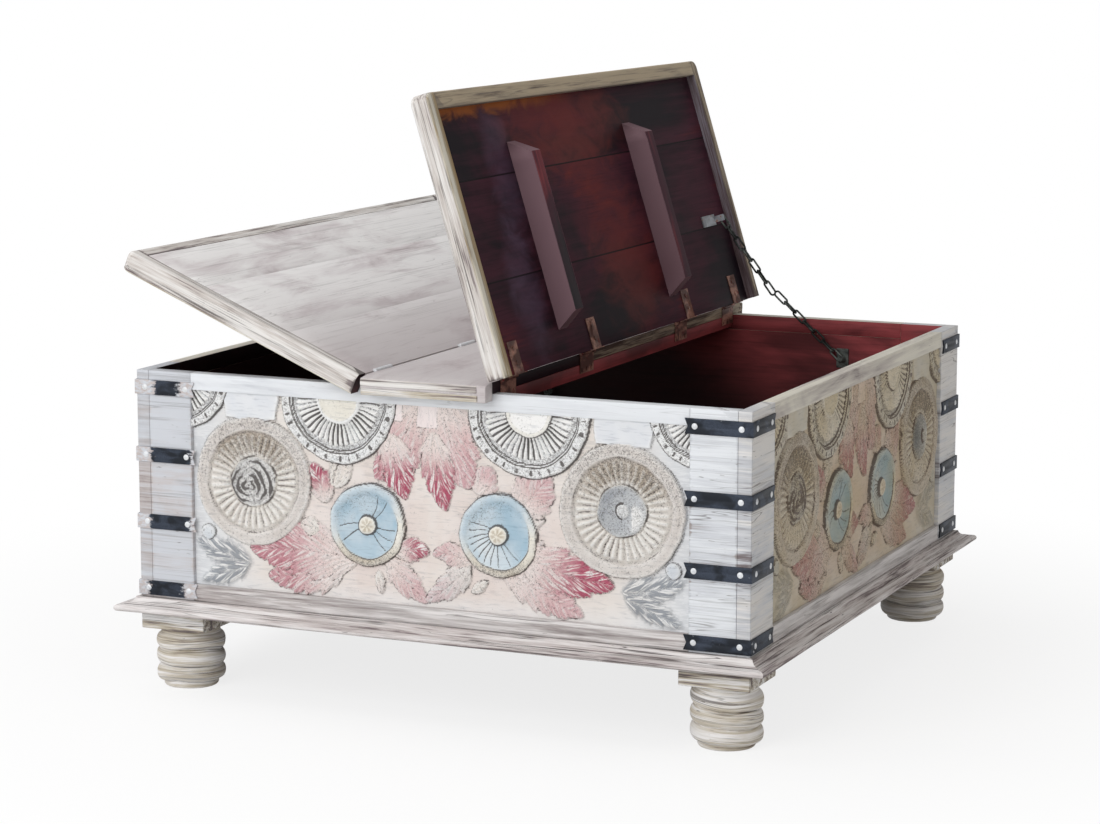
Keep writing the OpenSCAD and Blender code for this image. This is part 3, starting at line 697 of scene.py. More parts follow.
def washed(name, thick, thin, bare, wear, cracks, lines, cloud):
    """Whitewashed or painted boards."""
    sheet = Paint(name)
    coat = sheet.group("washed_wood", grain=sheet.attribute("grain"), edge=sheet.attribute("edge", "Fac"),
                       wear=wear, cracks=cracks, lines=lines, cloud=cloud, thick=thick, thin=thin, bare=bare)
    tint = coat["Colour"]
    if name in LID_SHADES:
        axis, first, full, fray, share, shade = LID_SHADES[name]
        frayed = sheet.attribute("lid").parts()[axis] + coat["Bareness"] * fray
        shade = getattr(bpy.context.scene.trunk_colours, shade)
        tint = sheet.mix(frayed.step(first, full, 0, share), tint, shade)
    return sheet.shade(tint, coat["Bareness"].step(0, 1, 0.62, 0.82), coat["Height"], WASH_BUMP)


def stained(name, deep, main, warm, depth, shine):
    """Stained boards; those inside the trunk get a near-black painted shade low down and to the left."""
    sheet = Paint(name)
    coat = sheet.group("stained_wood", grain=sheet.attribute("grain"), deep=deep, main=main, warm=warm,
                       depth=depth)
    tint = coat["Colour"]
    # Painted shade: darker towards the trunk's floor and its left side
    if name == "maroon":
        x, _, z = sheet.place().parts()
        tint = sheet.mix((z + x * 0.5).step(0.49, 0.31, 0, 0.93), tint, INSIDE_SHADE)
    return sheet.shade(tint, coat["Gloss"], coat["Height"], STAIN_BUMP, specular=shine)


def iron(name, base, sheen, rust, share, roughness, metallic):
    """Forged iron."""
    sheet = Paint(name)
    coat = sheet.group("old_iron", place=sheet.place(), iron=base, sheen=sheen, rust=rust, share=share)
    rough = coat["Rustiness"].step(0, 1, roughness, roughness + 0.25)
    return sheet.shade(coat["Colour"], rough, coat["Height"], IRON_BUMP, metallic)


def lid_underside(tints):
    """Dark stain under a lid, worn red in patches and orange beside the outer rim, with its seams and two
    patches of painted lilac sheen.
    """
    sheet = Paint("lid_under")
    run = sheet.attribute("grain")
    coat = sheet.group("stained_wood", grain=run, deep=tints.lid_deep, main=tints.lid_dark,
                       warm=tints.ember, depth=0.02)
    from_hinge, along, _ = sheet.attribute("lid").parts()
    uneven = sheet.noise(run, (16, 30, 30), 4, 0.6, 0.8) - 0.5
    tint = coat["Colour"]
    for x, y, reach_x, reach_y, strength in WORN_AND_SHEEN_PATCHES:
        gap = ((from_hinge - x) / reach_x) ** 2 + ((along - y) / reach_y) ** 2 + uneven * 2.4
        patch_colour = tints.ember if strength > 0 else tints.lilac_sheen
        tint = sheet.mix(gap.step(1.5, -0.4, 0, abs(strength)), tint, patch_colour)
    band = (from_hinge + uneven * 0.05).step(0.322, 0.342) * along.step(0.02, -0.2)
    tint = sheet.mix(band * 0.85, tint, tints.worn_orange)
    for seam in LID_SEAMS:
        tint = sheet.mix(abs(from_hinge - seam).step(0.0014, 0.0006, 0, 0.9), tint, SEAM)
    return sheet.shade(tint, coat["Gloss"], coat["Height"], UNDER_BUMP, specular=0.1)


def half_washed_iron(tints):
    """The left corner's iron: whitewash covers all of its front but the middle of each strap."""
    sheet = Paint("strap_washed")
    place = sheet.place()
    coat = sheet.group("old_iron", place=place, iron=tints.slate_iron, sheen=tints.slate_sheen,
                       rust=tints.wash_thin, share=-0.08)
    frayed = sheet.noise(place, (110, 110, 240), 3, 0.6) - 0.5
    x, y, z = place.parts()
    x = x + frayed * 0.03
    bare = y.step(-0.4245, -0.424)
    for height, from_x, to_x in BARE_STRAPS:
        half = (to_x - from_x) / 2
        there = abs(x - (from_x + to_x) / 2).step(half + 0.003, half - 0.003)
        bare = bare.larger(there * abs(z - height).step(0.03, 0.029))
    wash = sheet.mix(frayed.step(-0.1, 0.1), tints.base_thin, tints.wash_thin)
    return sheet.shade(sheet.mix(bare, wash, coat["Colour"]), 0.58, coat["Height"], IRON_BUMP, bare * 0.7)


def carved_paint(name, tints, aged=0.0):
    """Old paint on the carving: tints and lines that the carver's marks on the mesh place; the brown glaze
    for the sides and the back is partly older paint and partly painted shade.
    """
    sheet = Paint(name)
    place = sheet.place()
    ink_and_shade, speckle, strokes = sheet.attribute("marks").parts()
    cloud = sheet.noise(place, (26, 26, 26), 3, 0.6)
    brush = sheet.noise(sheet.attribute("flow"), (40, 300, 1), 4, 0.62, 0.6)
    fine = sheet.noise(place, (420, 420, 420), 3, 0.7, 1.2)
    curl = abs(sheet.noise(place, (190, 190, 190), 2, 0.5, 2.2) - 0.5).step(0.085, 0.03)
    tint = sheet.mix(cloud.step(0.35, 0.65, 0, 0.25), sheet.attribute("tint"), tints.chalk_and_highlight)
    tint = sheet.mix(brush.step(0.5, 0.3, 0, 0.4), tint, tints.wash_thin, "MULTIPLY")
    strong = sheet.math("MINIMUM", abs(strokes), 1) * (1 - 0.65 * aged)
    bold = sheet.mix(strokes.step(-0.02, 0.02), tints.slate_deep, tints.crimson)
    tint = sheet.mix(brush.step(0.42, 0.52) * strong * 0.9, tint, bold)
    tint = sheet.mix(brush.step(0.45, 0.38) * strong * 0.8, tint, tints.chalk_and_highlight)
    over = fine - ((0.7 - 0.05 * aged) - speckle * 0.28)
    dots = (curl * over.step(0, 0.05)).larger(over.step(0.07, 0.12)) * 0.62
    tint = sheet.mix(dots, tint, tints.ink_and_shade)
    if aged:
        glaze = sheet.noise(place, (14, 14, 14), 4, 0.6).step(0.3, 0.7, 0.6 * aged, aged)
        tint = sheet.mix(glaze, tint, tints.age, "MULTIPLY")
    rough_line = ink_and_shade + (fine - 0.5) * 1.1
    line = rough_line.step(0.34 - 0.06 * aged, 0.64 - 0.1 * aged, 0, 0.88 - 0.1 * aged)
    tint = sheet.mix(line, tint, tints.umber if aged else tints.ink_and_shade)
    height = brush * 0.4 - line * 0.6 + fine * 0.5
    return sheet.shade(tint, cloud.step(0.3, 0.7, 0.6, 0.8), height, CARVED_BUMP)


class TRUNK_OT_finishes(bpy.types.Operator):
    """Builds the shared shader groups and the finishes"""
    bl_idname = "trunk.finishes"
    bl_label = "Finishes"

    def execute(self, context):
        tints = context.scene.trunk_colours
        for build in (washed_wood_group, stained_wood_group, old_iron_group):
            build()
        for make, table in ((washed, WASHES), (stained, STAINS), (iron, IRONS)):
            for name, row in table.items():
                row = [getattr(tints, value) if isinstance(value, str) else value for value in row]
                FINISH[name] = make(name, *row)
        FINISH["lid_under"] = lid_underside(tints)
        FINISH["strap_washed"] = half_washed_iron(tints)
        FINISH["carved"] = carved_paint("carved", tints)
        FINISH["carved_aged"] = carved_paint("carved_aged", tints, 0.8)
        return {"FINISHED"}


# Camera, lamps and floor

LAMPS = {
    "key": ((-0.75, -3.8, 2.2), 3.2, (1, 1, 1)),
    "fill": ((3.4, -1.0, 2.4), 2.4, (1, 0.87, 0.68)),
    "top": ((-1.6, -0.4, 3.0), 2.2, (1, 1, 1)),
}
LAMP_AIM = Vector((0, 0, 0.3))
WHITE = (1, 1, 1)


def lamp(name, power, place, size, tint):
    """A square soft lamp that faces the middle of the table."""
    data = bpy.data.lights.new(name, "AREA")
    data.color, data.energy, data.size = tint, power, size
    made = bpy.data.objects.new(name, data)
    bpy.context.scene.collection.objects.link(made)
    made.location = place
    made.rotation_euler = (LAMP_AIM - made.location).to_track_quat("-Z", "Y").to_euler()


def mixed_output(sheet, amount, first, second):
    """Sends a mix of two shaders to the material's or the world's output."""
    node = sheet.add("ShaderNodeMixShader")
    sheet.feed_all(node.inputs, (amount, first.outputs[0], second.outputs[0]))
    output = next(n for n in sheet.tree.nodes if n.type.startswith("OUTPUT"))
    sheet.feed(output.inputs["Surface"], node.outputs[0])


def seen_by(sheet, *rays):
    """1 for either of two kinds of ray."""
    path = sheet.add("ShaderNodeLightPath").outputs
    return sheet.math("MAXIMUM", *(path[f"Is {ray} Ray"] for ray in rays))


class TRUNK_OT_stage(bpy.types.Operator):
    """Sets up the camera, the lamps and the pale floor"""
    bl_idname = "trunk.stage"
    bl_label = "Stage"

    def execute(self, context):
        settings = context.scene.trunk_stage
        camera = bpy.data.objects.new("camera", bpy.data.cameras.new("camera"))
        context.scene.collection.objects.link(camera)
        camera.location = settings.eye
        camera.rotation_euler = (math.pi / 2 - settings.pitch, 0, settings.yaw)
        camera.data.lens = settings.lens
        camera.data.sensor_width = 36
        camera.data.clip_end = 100
        context.scene.camera = camera
        context.scene.view_settings.view_transform = "Standard"
        for name, row in LAMPS.items():
            lamp(name + "_lamp", getattr(settings, name), *row)
        self.world(context, settings.sky)
        self.floor()
        return {"FINISHED"}

    @staticmethod
    def world(context, strength):
        """Even light on the object, and plain white for whatever sees past it."""
        world = bpy.data.worlds.new("studio")
        context.scene.world = world
        world.use_nodes = True
        sheet = Sheet(world.node_tree)
        light, white = (sheet.add("ShaderNodeBackground") for _ in range(2))
        for background, power in ((light, strength), (white, 1.0)):
            sheet.feed_named(background.inputs, {"Color": WHITE, "Strength": power})
        mixed_output(sheet, seen_by(sheet, "Camera", "Transmission"), light, white)

    @staticmethod
    def floor():
        """A pale floor that fades into the white round it and keeps the table's shadow."""
        floor = start("primitive_circle_add", "floor", radius=14, vertices=96, fill_type="NGON")
        sheet = Paint("pale_floor")
        sheet.feed_named(sheet.shader.inputs, {"Base Color": (0.86, 0.86, 0.86), "Roughness": 0.9})
        glow = sheet.add("ShaderNodeEmission")
        sheet.feed(glow.inputs["Color"], WHITE)
        distance = sheet.add("ShaderNodeVectorMath", operation="LENGTH")
        sheet.feed(distance.inputs[0], sheet.place())
        far = sheet.wire(distance.outputs["Value"]).step(0.45, 1.3, 0.8, 1)
        mixed_output(sheet, far * seen_by(sheet, "Camera", "Glossy"), sheet.shader, glow)
        floor.data.materials.append(sheet.material)


# Wall boards

def inner_face(centre, normal):
    """1 on faces that look into the trunk, 0 elsewhere."""
    inside = max(abs(centre.x), abs(centre.y)) < WALL_IN + 0.0012
    return 1 if inside and abs(normal.z) < 0.9 else 0


# The carving: x runs along a panel from its middle and z up from the trunk's bottom, in millimetres

MM = 0.001
MEDALLION_X, MEDALLION_Z, MEDALLION_R = 256, 165, 83
HALF_X, HALF_Z, HALF_R = 132, 279, 82
DISH_X, DISH_Z, DISH_R = 91, 121, 53
CORNER_X, CORNER_Z, CORNER_R = 362, 296, 71

# Leaves: foot of the midrib (x, z), heading, length, width, bend, lobes, paint, strokes, spread
LEAVES = [
    (-262, 58, 172, 84, 42, -16, 4, "slate_wash", -0.75, 20),
    (-265, 54, 198, 74, 34, 8, 4, "slate_wash", -0.75, 20),
    (255, 63, 8, 86, 42, 14, 4, "slate_wash", -0.75, 20),
    (258, 57, 344, 82, 34, -8, 4, "slate_wash", -0.75, 20),
    (-66, 82, 306, 80, 40, 22, 3, "rose", 0.3, 24),
    (50, 82, 230, 80, 38, -20, 3, "lid_thin", 0.25, 24),
    (52, 46, 35, 28, 15, 0, 2, "carved_ground", 0.0, 20),
    (-78, 62, 275, 30, 16, 10, 2, "carved_ground", 0.1, 20),
    (-128, 62, 202, 112, 56, -26, 6, "rose", 0.6, 34),
    (-106, 78, 177, 158, 80, 6, 5, "rose", 0.7, 28),
    (92, 80, 335, 124, 54, 2, 6, "rose", 0.35, 34),
    (110, 104, 339, 140, 66, 14, 4, "rose", 1.0, 22),
    (-54, 84, 34, 50, 36, -50, 3, "rose", 0.95, 30),
    (54, 84, 150, 58, 34, 46, 3, "rose", 0.3, 30),
    (-160, 110, 172, 28, 28, 0, 2, "carved_ground", 0.1, 20),
    (128, 141, 14, 27, 21, 0, 2, "carved_ground", 0.1, 10),
    (-150, 145, 108, 54, 36, 12, 3, "rose", 1.0, 30),
    (-140, 168, 92, 34, 17, 0, 1, "carved_ground", 0.0, 10),
    (-138, 166, 58, 46, 26, 12, 1, "carved_ground", 0.05, 10),
    (116, 152, 50, 68, 64, 0, 4, "rose", 0.35, 34),
    (60, 172, 62, 40, 46, 0, 2, "rose", 0.3, 16),
    (-16, 292, 256, 132, 86, -34, 4, "rose", 0.6, 10),
    (14, 292, 277, 120, 86, 22, 4, "rose", 0.4, 10),
    (-56, 240, 271, 86, 54, 22, 4, "rose", 1.1, 16),
    (4, 246, 268, 100, 52, 20, 4, "rose", 1.1, 16),
]


# Profiles of the round forms: distances from the middle, and the height at each, in millimetres
MEDALLION_CUT = ([32, 34, 36, 60, 62, 64.5, 67, 69, 74, 75, 76, 82, 84],
                 [3.2, 1.0, 2.6, 3.6, 2.8, 2.0, 4.2, 5.3, 5.6, 5.0, 5.5, 5.0, 0])
HALF_CUT = ([0, 20, 25, 27, 30, 32, 58, 62, 65, 68, 70, 80, 83],
            [2.2, 2.6, 3.6, 4.6, 4.4, 1.6, 3.0, 1.6, 1.2, 4.6, 5.2, 5.4, 0])
DISH_CUT = ([0, 12, 14, 20, 36, 42, 45, 48, 51, 53, 54.5],
            [4.8, 3.4, 0.7, 0.4, 2.0, 4.0, 5.6, 6.0, 5.5, 4.0, 0])

# Lines round them: radius, strength and width
MEDALLION_LINES = [(83, 0.66, 0.8), (76, 0.5, 0.6), (66.5, 0.6, 0.8), (61.5, 0.45, 0.6), (32.8, 0.8, 1.2)]
HALF_LINES = [(82, 0.85, 1.0), (68.5, 0.95, 1.0), (65.3, 0.85, 0.9)]
HALF_BOWL_LINES = [(27, 0.45, 0.8)]
HALF_BOSS_LINES = [(31, 0.7, 1.1), (25.5, 0.45, 0.8)]
DISH_LINES = [(53, 0.8, 0.9), (50.5, 0.45, 0.6), (12.6, 0.95, 1.1)]

# Directions in degrees of the cracks in the two dishes
FAN_RAYS = [150, 165, 180, 193, 206, 219, 232, 246, 262, 285, 305]
FEW_RAYS = [178, 205, 300, 322, 345, 40, 62]

# Small forms: keystones by x, half width and foot; tablets and knobs for the left and the right
KEYSTONES = [(-6, 14, 251), (-49, 8, 256)]
TABLETS = {-1: (-258, 38, 246), 1: (258, 38, 246)}
KNOBS = {-1: (-324, 92, 10), 1: (324, 98, 10)}

BOSS_R, DISH_BOSS_R = 32, 12
MEDALLION_FLUTES, HALF_FLUTES = 36, 46
SCROLL_PITCH = 8.6


def clipped(values):
    return np.clip(values, 0, 1)


def inside(distance, blur=0.8):
    """1 within a form, falling to 0 across its outline."""
    return clipped(0.5 - distance / blur)


def near(distance, width):
    """1 on a line, falling to 0 beside it."""
    return clipped(1.5 - np.abs(distance) / width)


def domed(r, size, low, rise):
    """Heights of a round boss."""
    return low + rise * np.sqrt(clipped(1 - (r / size) ** 2))


def fluted(flute):
    """Makes a wave's crests broad and its troughs narrow."""
    return np.abs(flute) ** 0.5 * np.sign(flute)


def flute_gap(r, a, count):
    """Distance from the groove between two flutes of a ring."""
    turn = np.mod(count * a / math.tau + 0.5, 1) - 0.5
    return np.abs(np.abs(turn * math.tau * r / count) - math.pi * r / count)


class Carving:
    """One carved face: height above its ground, colours, lines and brush directions."""

    def __init__(self, x, z, tints, seed):
        self.tints = tints
        self.x = x + 1.2 * np.sin(z / 19 + 1.3 + seed) + 0.5 * np.sin(z / 5.3 + x / 8)
        self.z = z + 1.1 * np.sin(x / 23 + 0.4 + seed) + 0.5 * np.sin(x / 5.9 - z / 9)
        self.tint = np.ones((len(x), 3)) * self.paint("carved_ground")
        self.height, self.ink_and_shade, self.speckle, self.strokes = (np.zeros_like(x) for _ in range(4))
        self.flow = np.stack([x, z, np.zeros_like(x)], axis=1)

    def paint(self, name, other=None, share=0.0):
        """A colour, or a mix of two."""
        first = np.array(getattr(self.tints, name))
        return first if other is None else (1 - share) * first + share * self.paint(other)

    def around(self, x, z):
        """Offsets from a point, distance from it and direction."""
        dx, dz = self.x - x, self.z - z
        return dx, dz, np.hypot(dx, dz), np.arctan2(dz, dx)

    def cover(self, mask, height, tint, speckle=0.0, strokes=0.0, flow=None):
        """Lays a form over what lies under it."""
        for name, value in (("height", height), ("speckle", speckle), ("strokes", strokes), ("ink_and_shade", 0.0)):
            under = getattr(self, name)
            setattr(self, name, under + (value - under) * mask)
        self.tint += (tint - self.tint) * mask[:, None]
        if flow is not None:
            self.flow = np.where(mask[:, None] > 0.5, flow, self.flow)

    def stain(self, mask, name):
        """Tints without changing the shape."""
        self.tint += (self.paint(name) - self.tint) * clipped(mask)[:, None]

    def draw(self, distance, strength, width=1.0, within=1.0):
        """Adds a dark line where distance is small."""
        self.ink_and_shade = np.maximum(self.ink_and_shade, strength * near(distance, width) * within)

    def rings(self, r, lines, broken=1.0):
        for radius, strength, width in lines:
            self.draw(r - radius, strength, width, broken)

    def ground(self):
        """Paint of the ground: pink towards the middle, grey towards the ends."""
        out = np.abs(self.x)
        self.stain(0.85 * clipped((out - 235) / 90), "wash")
        pink = np.exp(-((out - 95) / 110) ** 2) * np.exp(-((self.z - 110) / 95) ** 2)
        self.stain(0.3 * pink, "rose")
        self.stain(0.35 * clipped((44 - self.z) / 18), "wash")
        self.speckle = 0.02 + 0.36 * pink
        self.strokes = -0.22 * clipped((out - 275) / 60)

    def leaf(self, x, z, heading, long, wide, bend, lobes, paint, strokes, spread):
        """A leaf with a bent midrib, lobed edges, and veins that leave the midrib at an angle."""
        loose = paint == "slate_wash"
        blur, dots, line_share = (8, 0.35, 0.25) if loose else (0.8, 0.6, 1)
        turn = math.radians(heading)
        dx, dz = self.x - x, self.z - z
        run = dx * math.cos(turn) + dz * math.sin(turn)
        off = dz * math.cos(turn) - dx * math.sin(turn)
        if bend:
            radius = long / math.radians(bend)
            way = math.copysign(1, radius)
            reach = np.hypot(run, radius - off)
            run = abs(radius) * np.arctan2(run, way * (radius - off))
            off = way * (abs(radius) - reach)
        part = clipped(run / long)
        lean = max(math.tan(math.radians(spread)), 0.4)
        vein = run - np.abs(off) / lean + 2.2 * np.sin(off * 0.21 + run * 0.07 + x)
        lobe = np.mod(lobes * part - 0.3 * np.abs(off) / wide + 0.1 * np.sin(0.13 * run + x), 1)
        cut = 0.72 + 0.28 * lobe ** 0.7 + 0.06 * np.sin(run * 0.9 + z) * part
        half = wide / 2 * np.sin(math.pi * part ** 0.8) ** 0.7 * cut
        gap = np.maximum(np.abs(off) - half, np.abs(run - long / 2) - long / 2)
        mask = inside(gap, blur)
        side = np.abs(off) / np.maximum(half, 1)
        swell = np.sqrt(clipped(1 - side ** 2))
        folds = vein / (long / (2.2 * lobes + 2)) if spread > 18 else side * 2.6 + 0.1 * np.sin(run / 9)
        fold = np.abs(np.mod(folds, 1) - 0.5)
        height = 1.4 + 2.4 * swell - 0.9 * near(off, 1.2) + 1.3 * (fold - 0.25) * 2
        aside = math.radians(spread)
        flow = np.stack([run * math.cos(aside) + np.abs(off) * math.sin(aside),
                         np.abs(off) * math.cos(aside) - run * math.sin(aside) + 40 * np.sign(off),
                         np.zeros_like(run)], axis=1)
        tint = self.paint(paint)
        tint = tint + (self.paint("carved_ground") - tint) * (0.2 + 0.55 * (1 - part))[:, None]
        fade = strokes
        if not loose:
            fade = strokes * clipped(2.2 * part - 0.5)
            tip = np.clip(0.42 * strokes * clipped(2 * part - 0.7), 0, 0.5)
            tint = tint + (self.paint("crimson") - tint) * tip[:, None]
        self.cover(mask, height, tint, dots, fade, flow)
        wobble = (0.75 + 0.25 * np.sin(run * 0.21 + off * 0.17 + x)) * line_share
        self.draw(gap, 0.72, 0.8, wobble)
        self.draw(off, 0.55, 0.6, mask * (part > 0.1) * wobble)
        self.draw((0.5 - fold) * 9, 0.5, 0.55, mask * wobble * (side < 0.9))

    def medallion(self, x, z, scroll):
        """A whole medallion: flat ring, hollow, flutes and boss."""
        dx, dz, r, a = self.around(x, z)
        band = inside(np.abs(r - 48) - 13.5, 3)
        flute = np.cos(MEDALLION_FLUTES * a)
        height = np.interp(r, *MEDALLION_CUT) + band * 1.1 * fluted(flute)
        height = np.where(r < BOSS_R, domed(r, BOSS_R + 0.6, 3.0, 4.6), height)
        mask = inside(r - MEDALLION_R)
        self.cover(mask, height, self.paint("carved_ground", "bare_wood", 0.36), 0.36)
        self.stain(mask * inside(r - 66, 3) * 0.4, "cream")
        upper = clipped(np.sin(a) * 1.4 - 0.1) * inside(np.abs(r - 52) - 14, 4)
        self.stain(0.55 * upper, "honey_wood")
        # Painted shade in the groove at r 64.5, painted highlight on the flute crests and painted shade in
        # their troughs
        self.stain(0.36 * near(r - 64.5, 2.2), "bare_wood")
        self.stain(0.3 * band * clipped(flute) * (1 - 0.8 * upper), "chalk_and_highlight")
        self.stain(0.42 * band * clipped(-flute), "bare_wood")
        self.speckle += 0.45 * upper
        self.speckle += (0.15 + 0.3 * inside(np.abs(r - 76) - 7, 3) * clipped(0.5 + np.sin(a))) * mask
        self.draw(flute_gap(r, a, MEDALLION_FLUTES), 0.66, 0.6, band * (0.72 + 0.28 * np.sin(5 * a + x)))
        self.rings(r, MEDALLION_LINES, 0.72 + 0.28 * np.sin(5 * a + 0.3 * r + x))
        self.draw(np.sin(a * 30 + x) * 6, 0.34, 0.8, inside(np.abs(r - 79) - 3, 1))
        boss = inside(r - BOSS_R)
        self.stain(boss * 0.75, "chalk_and_highlight" if scroll else "slate_wash")
        # Painted shade: each boss darker round its rim towards the upper left
        self.stain(0.35 * boss * clipped(r / BOSS_R) ** 3 * clipped(0.5 - (dx - dz) / 60), "ink_and_shade")
        self.speckle += (0.75 - self.speckle) * boss
        if scroll:
            self.scroll(dx, dz, r, boss)
        else:
            self.nub(dx, dz, boss)

    def scroll(self, dx, dz, r, boss):
        """A rose of scrolled grooves on a boss."""
        from_eye, round_eye = np.hypot(dx + 3, dz + 3), np.arctan2(dz + 3, dx + 3)
        wave = from_eye + SCROLL_PITCH * round_eye / math.tau + 1.8 * np.sin(3 * round_eye + 0.5)
        wave += 0.9 * np.sin(0.45 * dx + 0.3 * dz)
        ring = np.abs(np.mod(wave, SCROLL_PITCH) - SCROLL_PITCH / 2)
        self.draw(ring, 1.4, 1.9, boss * (0.66 + 0.34 * np.sin(2 * round_eye + 0.9)) * (r < 31))
        self.stain(0.4 * near(ring, 3.4) * boss, "slate_deep")
        self.height -= boss * 1.1 * np.cos(math.tau * wave / SCROLL_PITCH)

    def nub(self, dx, dz, boss):
        """A small round head on a boss; the boss is darker to its left as painted shade, with a painted
        highlight crescent low on its right, and a painted shadow line edges the head's left.
        """
        self.stain(0.8 * boss * clipped(0.5 - (dx - 0.4 * dz) / 44), "slate_deep")
        self.stain(0.8 * near(np.hypot(dx - 12, dz + 6) - 9, 7) * (dx > 14) * boss, "chalk_and_highlight")
        head = np.hypot(dx - 3, dz - 1)
        self.height += 2.2 * inside(head - 8.5, 3)
        self.draw(head - 9.5, 0.95, 1.5, (dx < 3) * 1.0)
        self.stain(0.4 * inside(head - 8, 2), "chalk_and_highlight")

    def half_medallion(self, x, z, size, dish):
        """A medallion that the frame cuts: white flutes with dark gaps and a dashed ring."""
        dx, dz, r, a = self.around(x, z)
        r = r * HALF_R / size
        band = inside(np.abs(r - 45) - 14.5, 3)
        flute = np.cos(HALF_FLUTES * a)
        height = np.interp(r, *HALF_CUT) + band * 1.7 * fluted(flute)
        self.cover(inside(r - HALF_R), height, self.paint("slate_wash", "chalk_and_highlight", 0.65), 0.4)
        self.stain(0.95 * band * clipped(flute * 2 + 0.6), "chalk_and_highlight")
        self.draw(flute_gap(r, a, HALF_FLUTES), 1.3, 1.15, band * (0.7 + 0.3 * np.sin(7 * a + x)))
        self.speckle = np.maximum(self.speckle, 0.95 * inside(np.abs(r - 62) - 5, 3))
        self.rings(r, HALF_LINES)
        dash = np.abs(np.mod(a * 15 / math.pi + 0.2 * np.sin(9 * a), 1) - 0.5) * 8
        self.draw(dash, 0.95, 1.1, inside(np.abs(r - 75) - 3.6, 1) * (0.8 + 0.2 * np.sin(11 * a)))
        self.speckle += 0.35 * inside(np.abs(r - 75) - 7, 1)
        if dish:
            bowl = inside(r - 27)
            self.stain(0.85 * bowl, "cream")
            self.draw(np.mod(np.hypot(dx, dz + 26), 7) - 3.5, 0.35, 0.6, bowl)
            self.rings(r, HALF_BOWL_LINES)
        else:
            self.stain(0.9 * inside(r - 26), "chalk_and_highlight")
            self.stain(0.7 * inside(np.abs(r - 28) - 2.4), "cream")
            self.rings(r, HALF_BOSS_LINES)

    def dish(self, x, z, fan):
        """A blue bowl with a small boss in a painted rim."""
        dx, dz, r, a = self.around(x, z)
        height = np.interp(r, *DISH_CUT)
        height = np.where(r < DISH_BOSS_R, domed(r, DISH_BOSS_R + 0.2, 3.0, 2.6), height)
        self.cover(inside(r - DISH_R), height, self.paint("cream"), 0.4)
        rim_band = inside(np.abs(r - 48) - 5.5, 2)
        high = clipped(0.45 + 1.2 * np.sin(a) - 0.5 * np.cos(a))
        low = clipped(-np.sin(a) * 1.6 - 0.5)
        self.stain(rim_band * high, "dish_blue")
        self.stain(0.5 * rim_band * low, "honey_wood")
        self.speckle += 0.5 * rim_band * low
        bowl = inside(r - 43, 2)
        rubbed, worn = (0.35, 0.3) if fan else (0.12, 0.1)
        self.stain(bowl, "dish_blue")
        self.stain(rubbed * bowl * clipped(-(dx + dz) / 40), "chalk_and_highlight")
        self.stain(worn * bowl * inside(r - 30, 14) * clipped(-dx / 30 + 0.4), "chalk_and_highlight")
        self.speckle += (0.15 + 0.55 * clipped((dz - 0.5 * dx) / 40) - self.speckle) * bowl
        self.rings(r, DISH_LINES)
        self.draw(r - 43.5, 0.75, 0.9, 1 - 0.75 * high)
        self.stain(inside(r - DISH_BOSS_R), "cream")
        self.stain(0.6 * inside(r - 9, 3) * (np.sin(7 * a + x) > -0.2), "honey_wood")
        where = inside(np.abs(r - 27) - 14, 2)
        for ray in FAN_RAYS if fan else FEW_RAYS:
            bent = a - math.radians(ray) - 0.006 * (r - 20)
            away = np.abs(np.mod(bent + math.pi, math.tau) - math.pi) * r
            self.draw(away, 0.8, 0.8, where)
            self.height -= 0.5 * near(away, 1.3) * where

    def tablet(self, x, half, foot):
        """A plain raised tablet above a medallion."""
        gap = np.maximum(np.abs(self.x - x) - half - 0.12 * (self.z - 260), foot - self.z)
        self.cover(inside(gap), 3.6, self.paint("wash_thin"))
        self.stain(0.6 * inside(gap), "wash")
        self.draw(gap, 0.4, 0.8)

    def keystone(self, x, half, foot):
        """A small plain block hanging from the frame between the palmettes."""
        gap = np.maximum(np.abs(self.x - x) - half, foot - self.z)
        self.cover(inside(gap), 3.4, self.paint("chalk_and_highlight", "rose", 0.4), 0.35)
        self.draw(gap, 0.55, 0.7)

    def knob(self, x, z, size):
        """A small raised disc among the outer leaves."""
        r = self.around(x, z)[2]
        self.cover(inside(r - size), domed(r, size, 2.5, 1.6), self.paint("slate_wash"), 0.4)
        self.rings(r, [(size, 0.6, 0.9), (size * 0.55, 0.4, 0.7)])

    def carve(self):
        """The whole pattern, from the ground up."""
        self.ground()
        for leaf in LEAVES:
            self.leaf(*leaf)
        for stone in KEYSTONES:
            self.keystone(*stone)
        for way in (-1, 1):
            self.tablet(*TABLETS[way])
            self.knob(*KNOBS[way])
            self.half_medallion(way * CORNER_X, CORNER_Z, CORNER_R, False)
            self.half_medallion(way * HALF_X, HALF_Z, HALF_R, way < 0)
            self.medallion(way * MEDALLION_X, MEDALLION_Z, way < 0)
            self.dish(way * DISH_X, DISH_Z, way > 0)


HOLLOW_STEPS = 6


def softened(field, steps):
    """A grid of heights, each averaged with its neighbours."""
    for _ in range(steps):
        padded = np.pad(field, 1, mode="edge")
        field = (padded[:-2, 1:-1] + padded[2:, 1:-1] + padded[1:-1, :-2] + padded[1:-1, 2:]) / 4
    return field


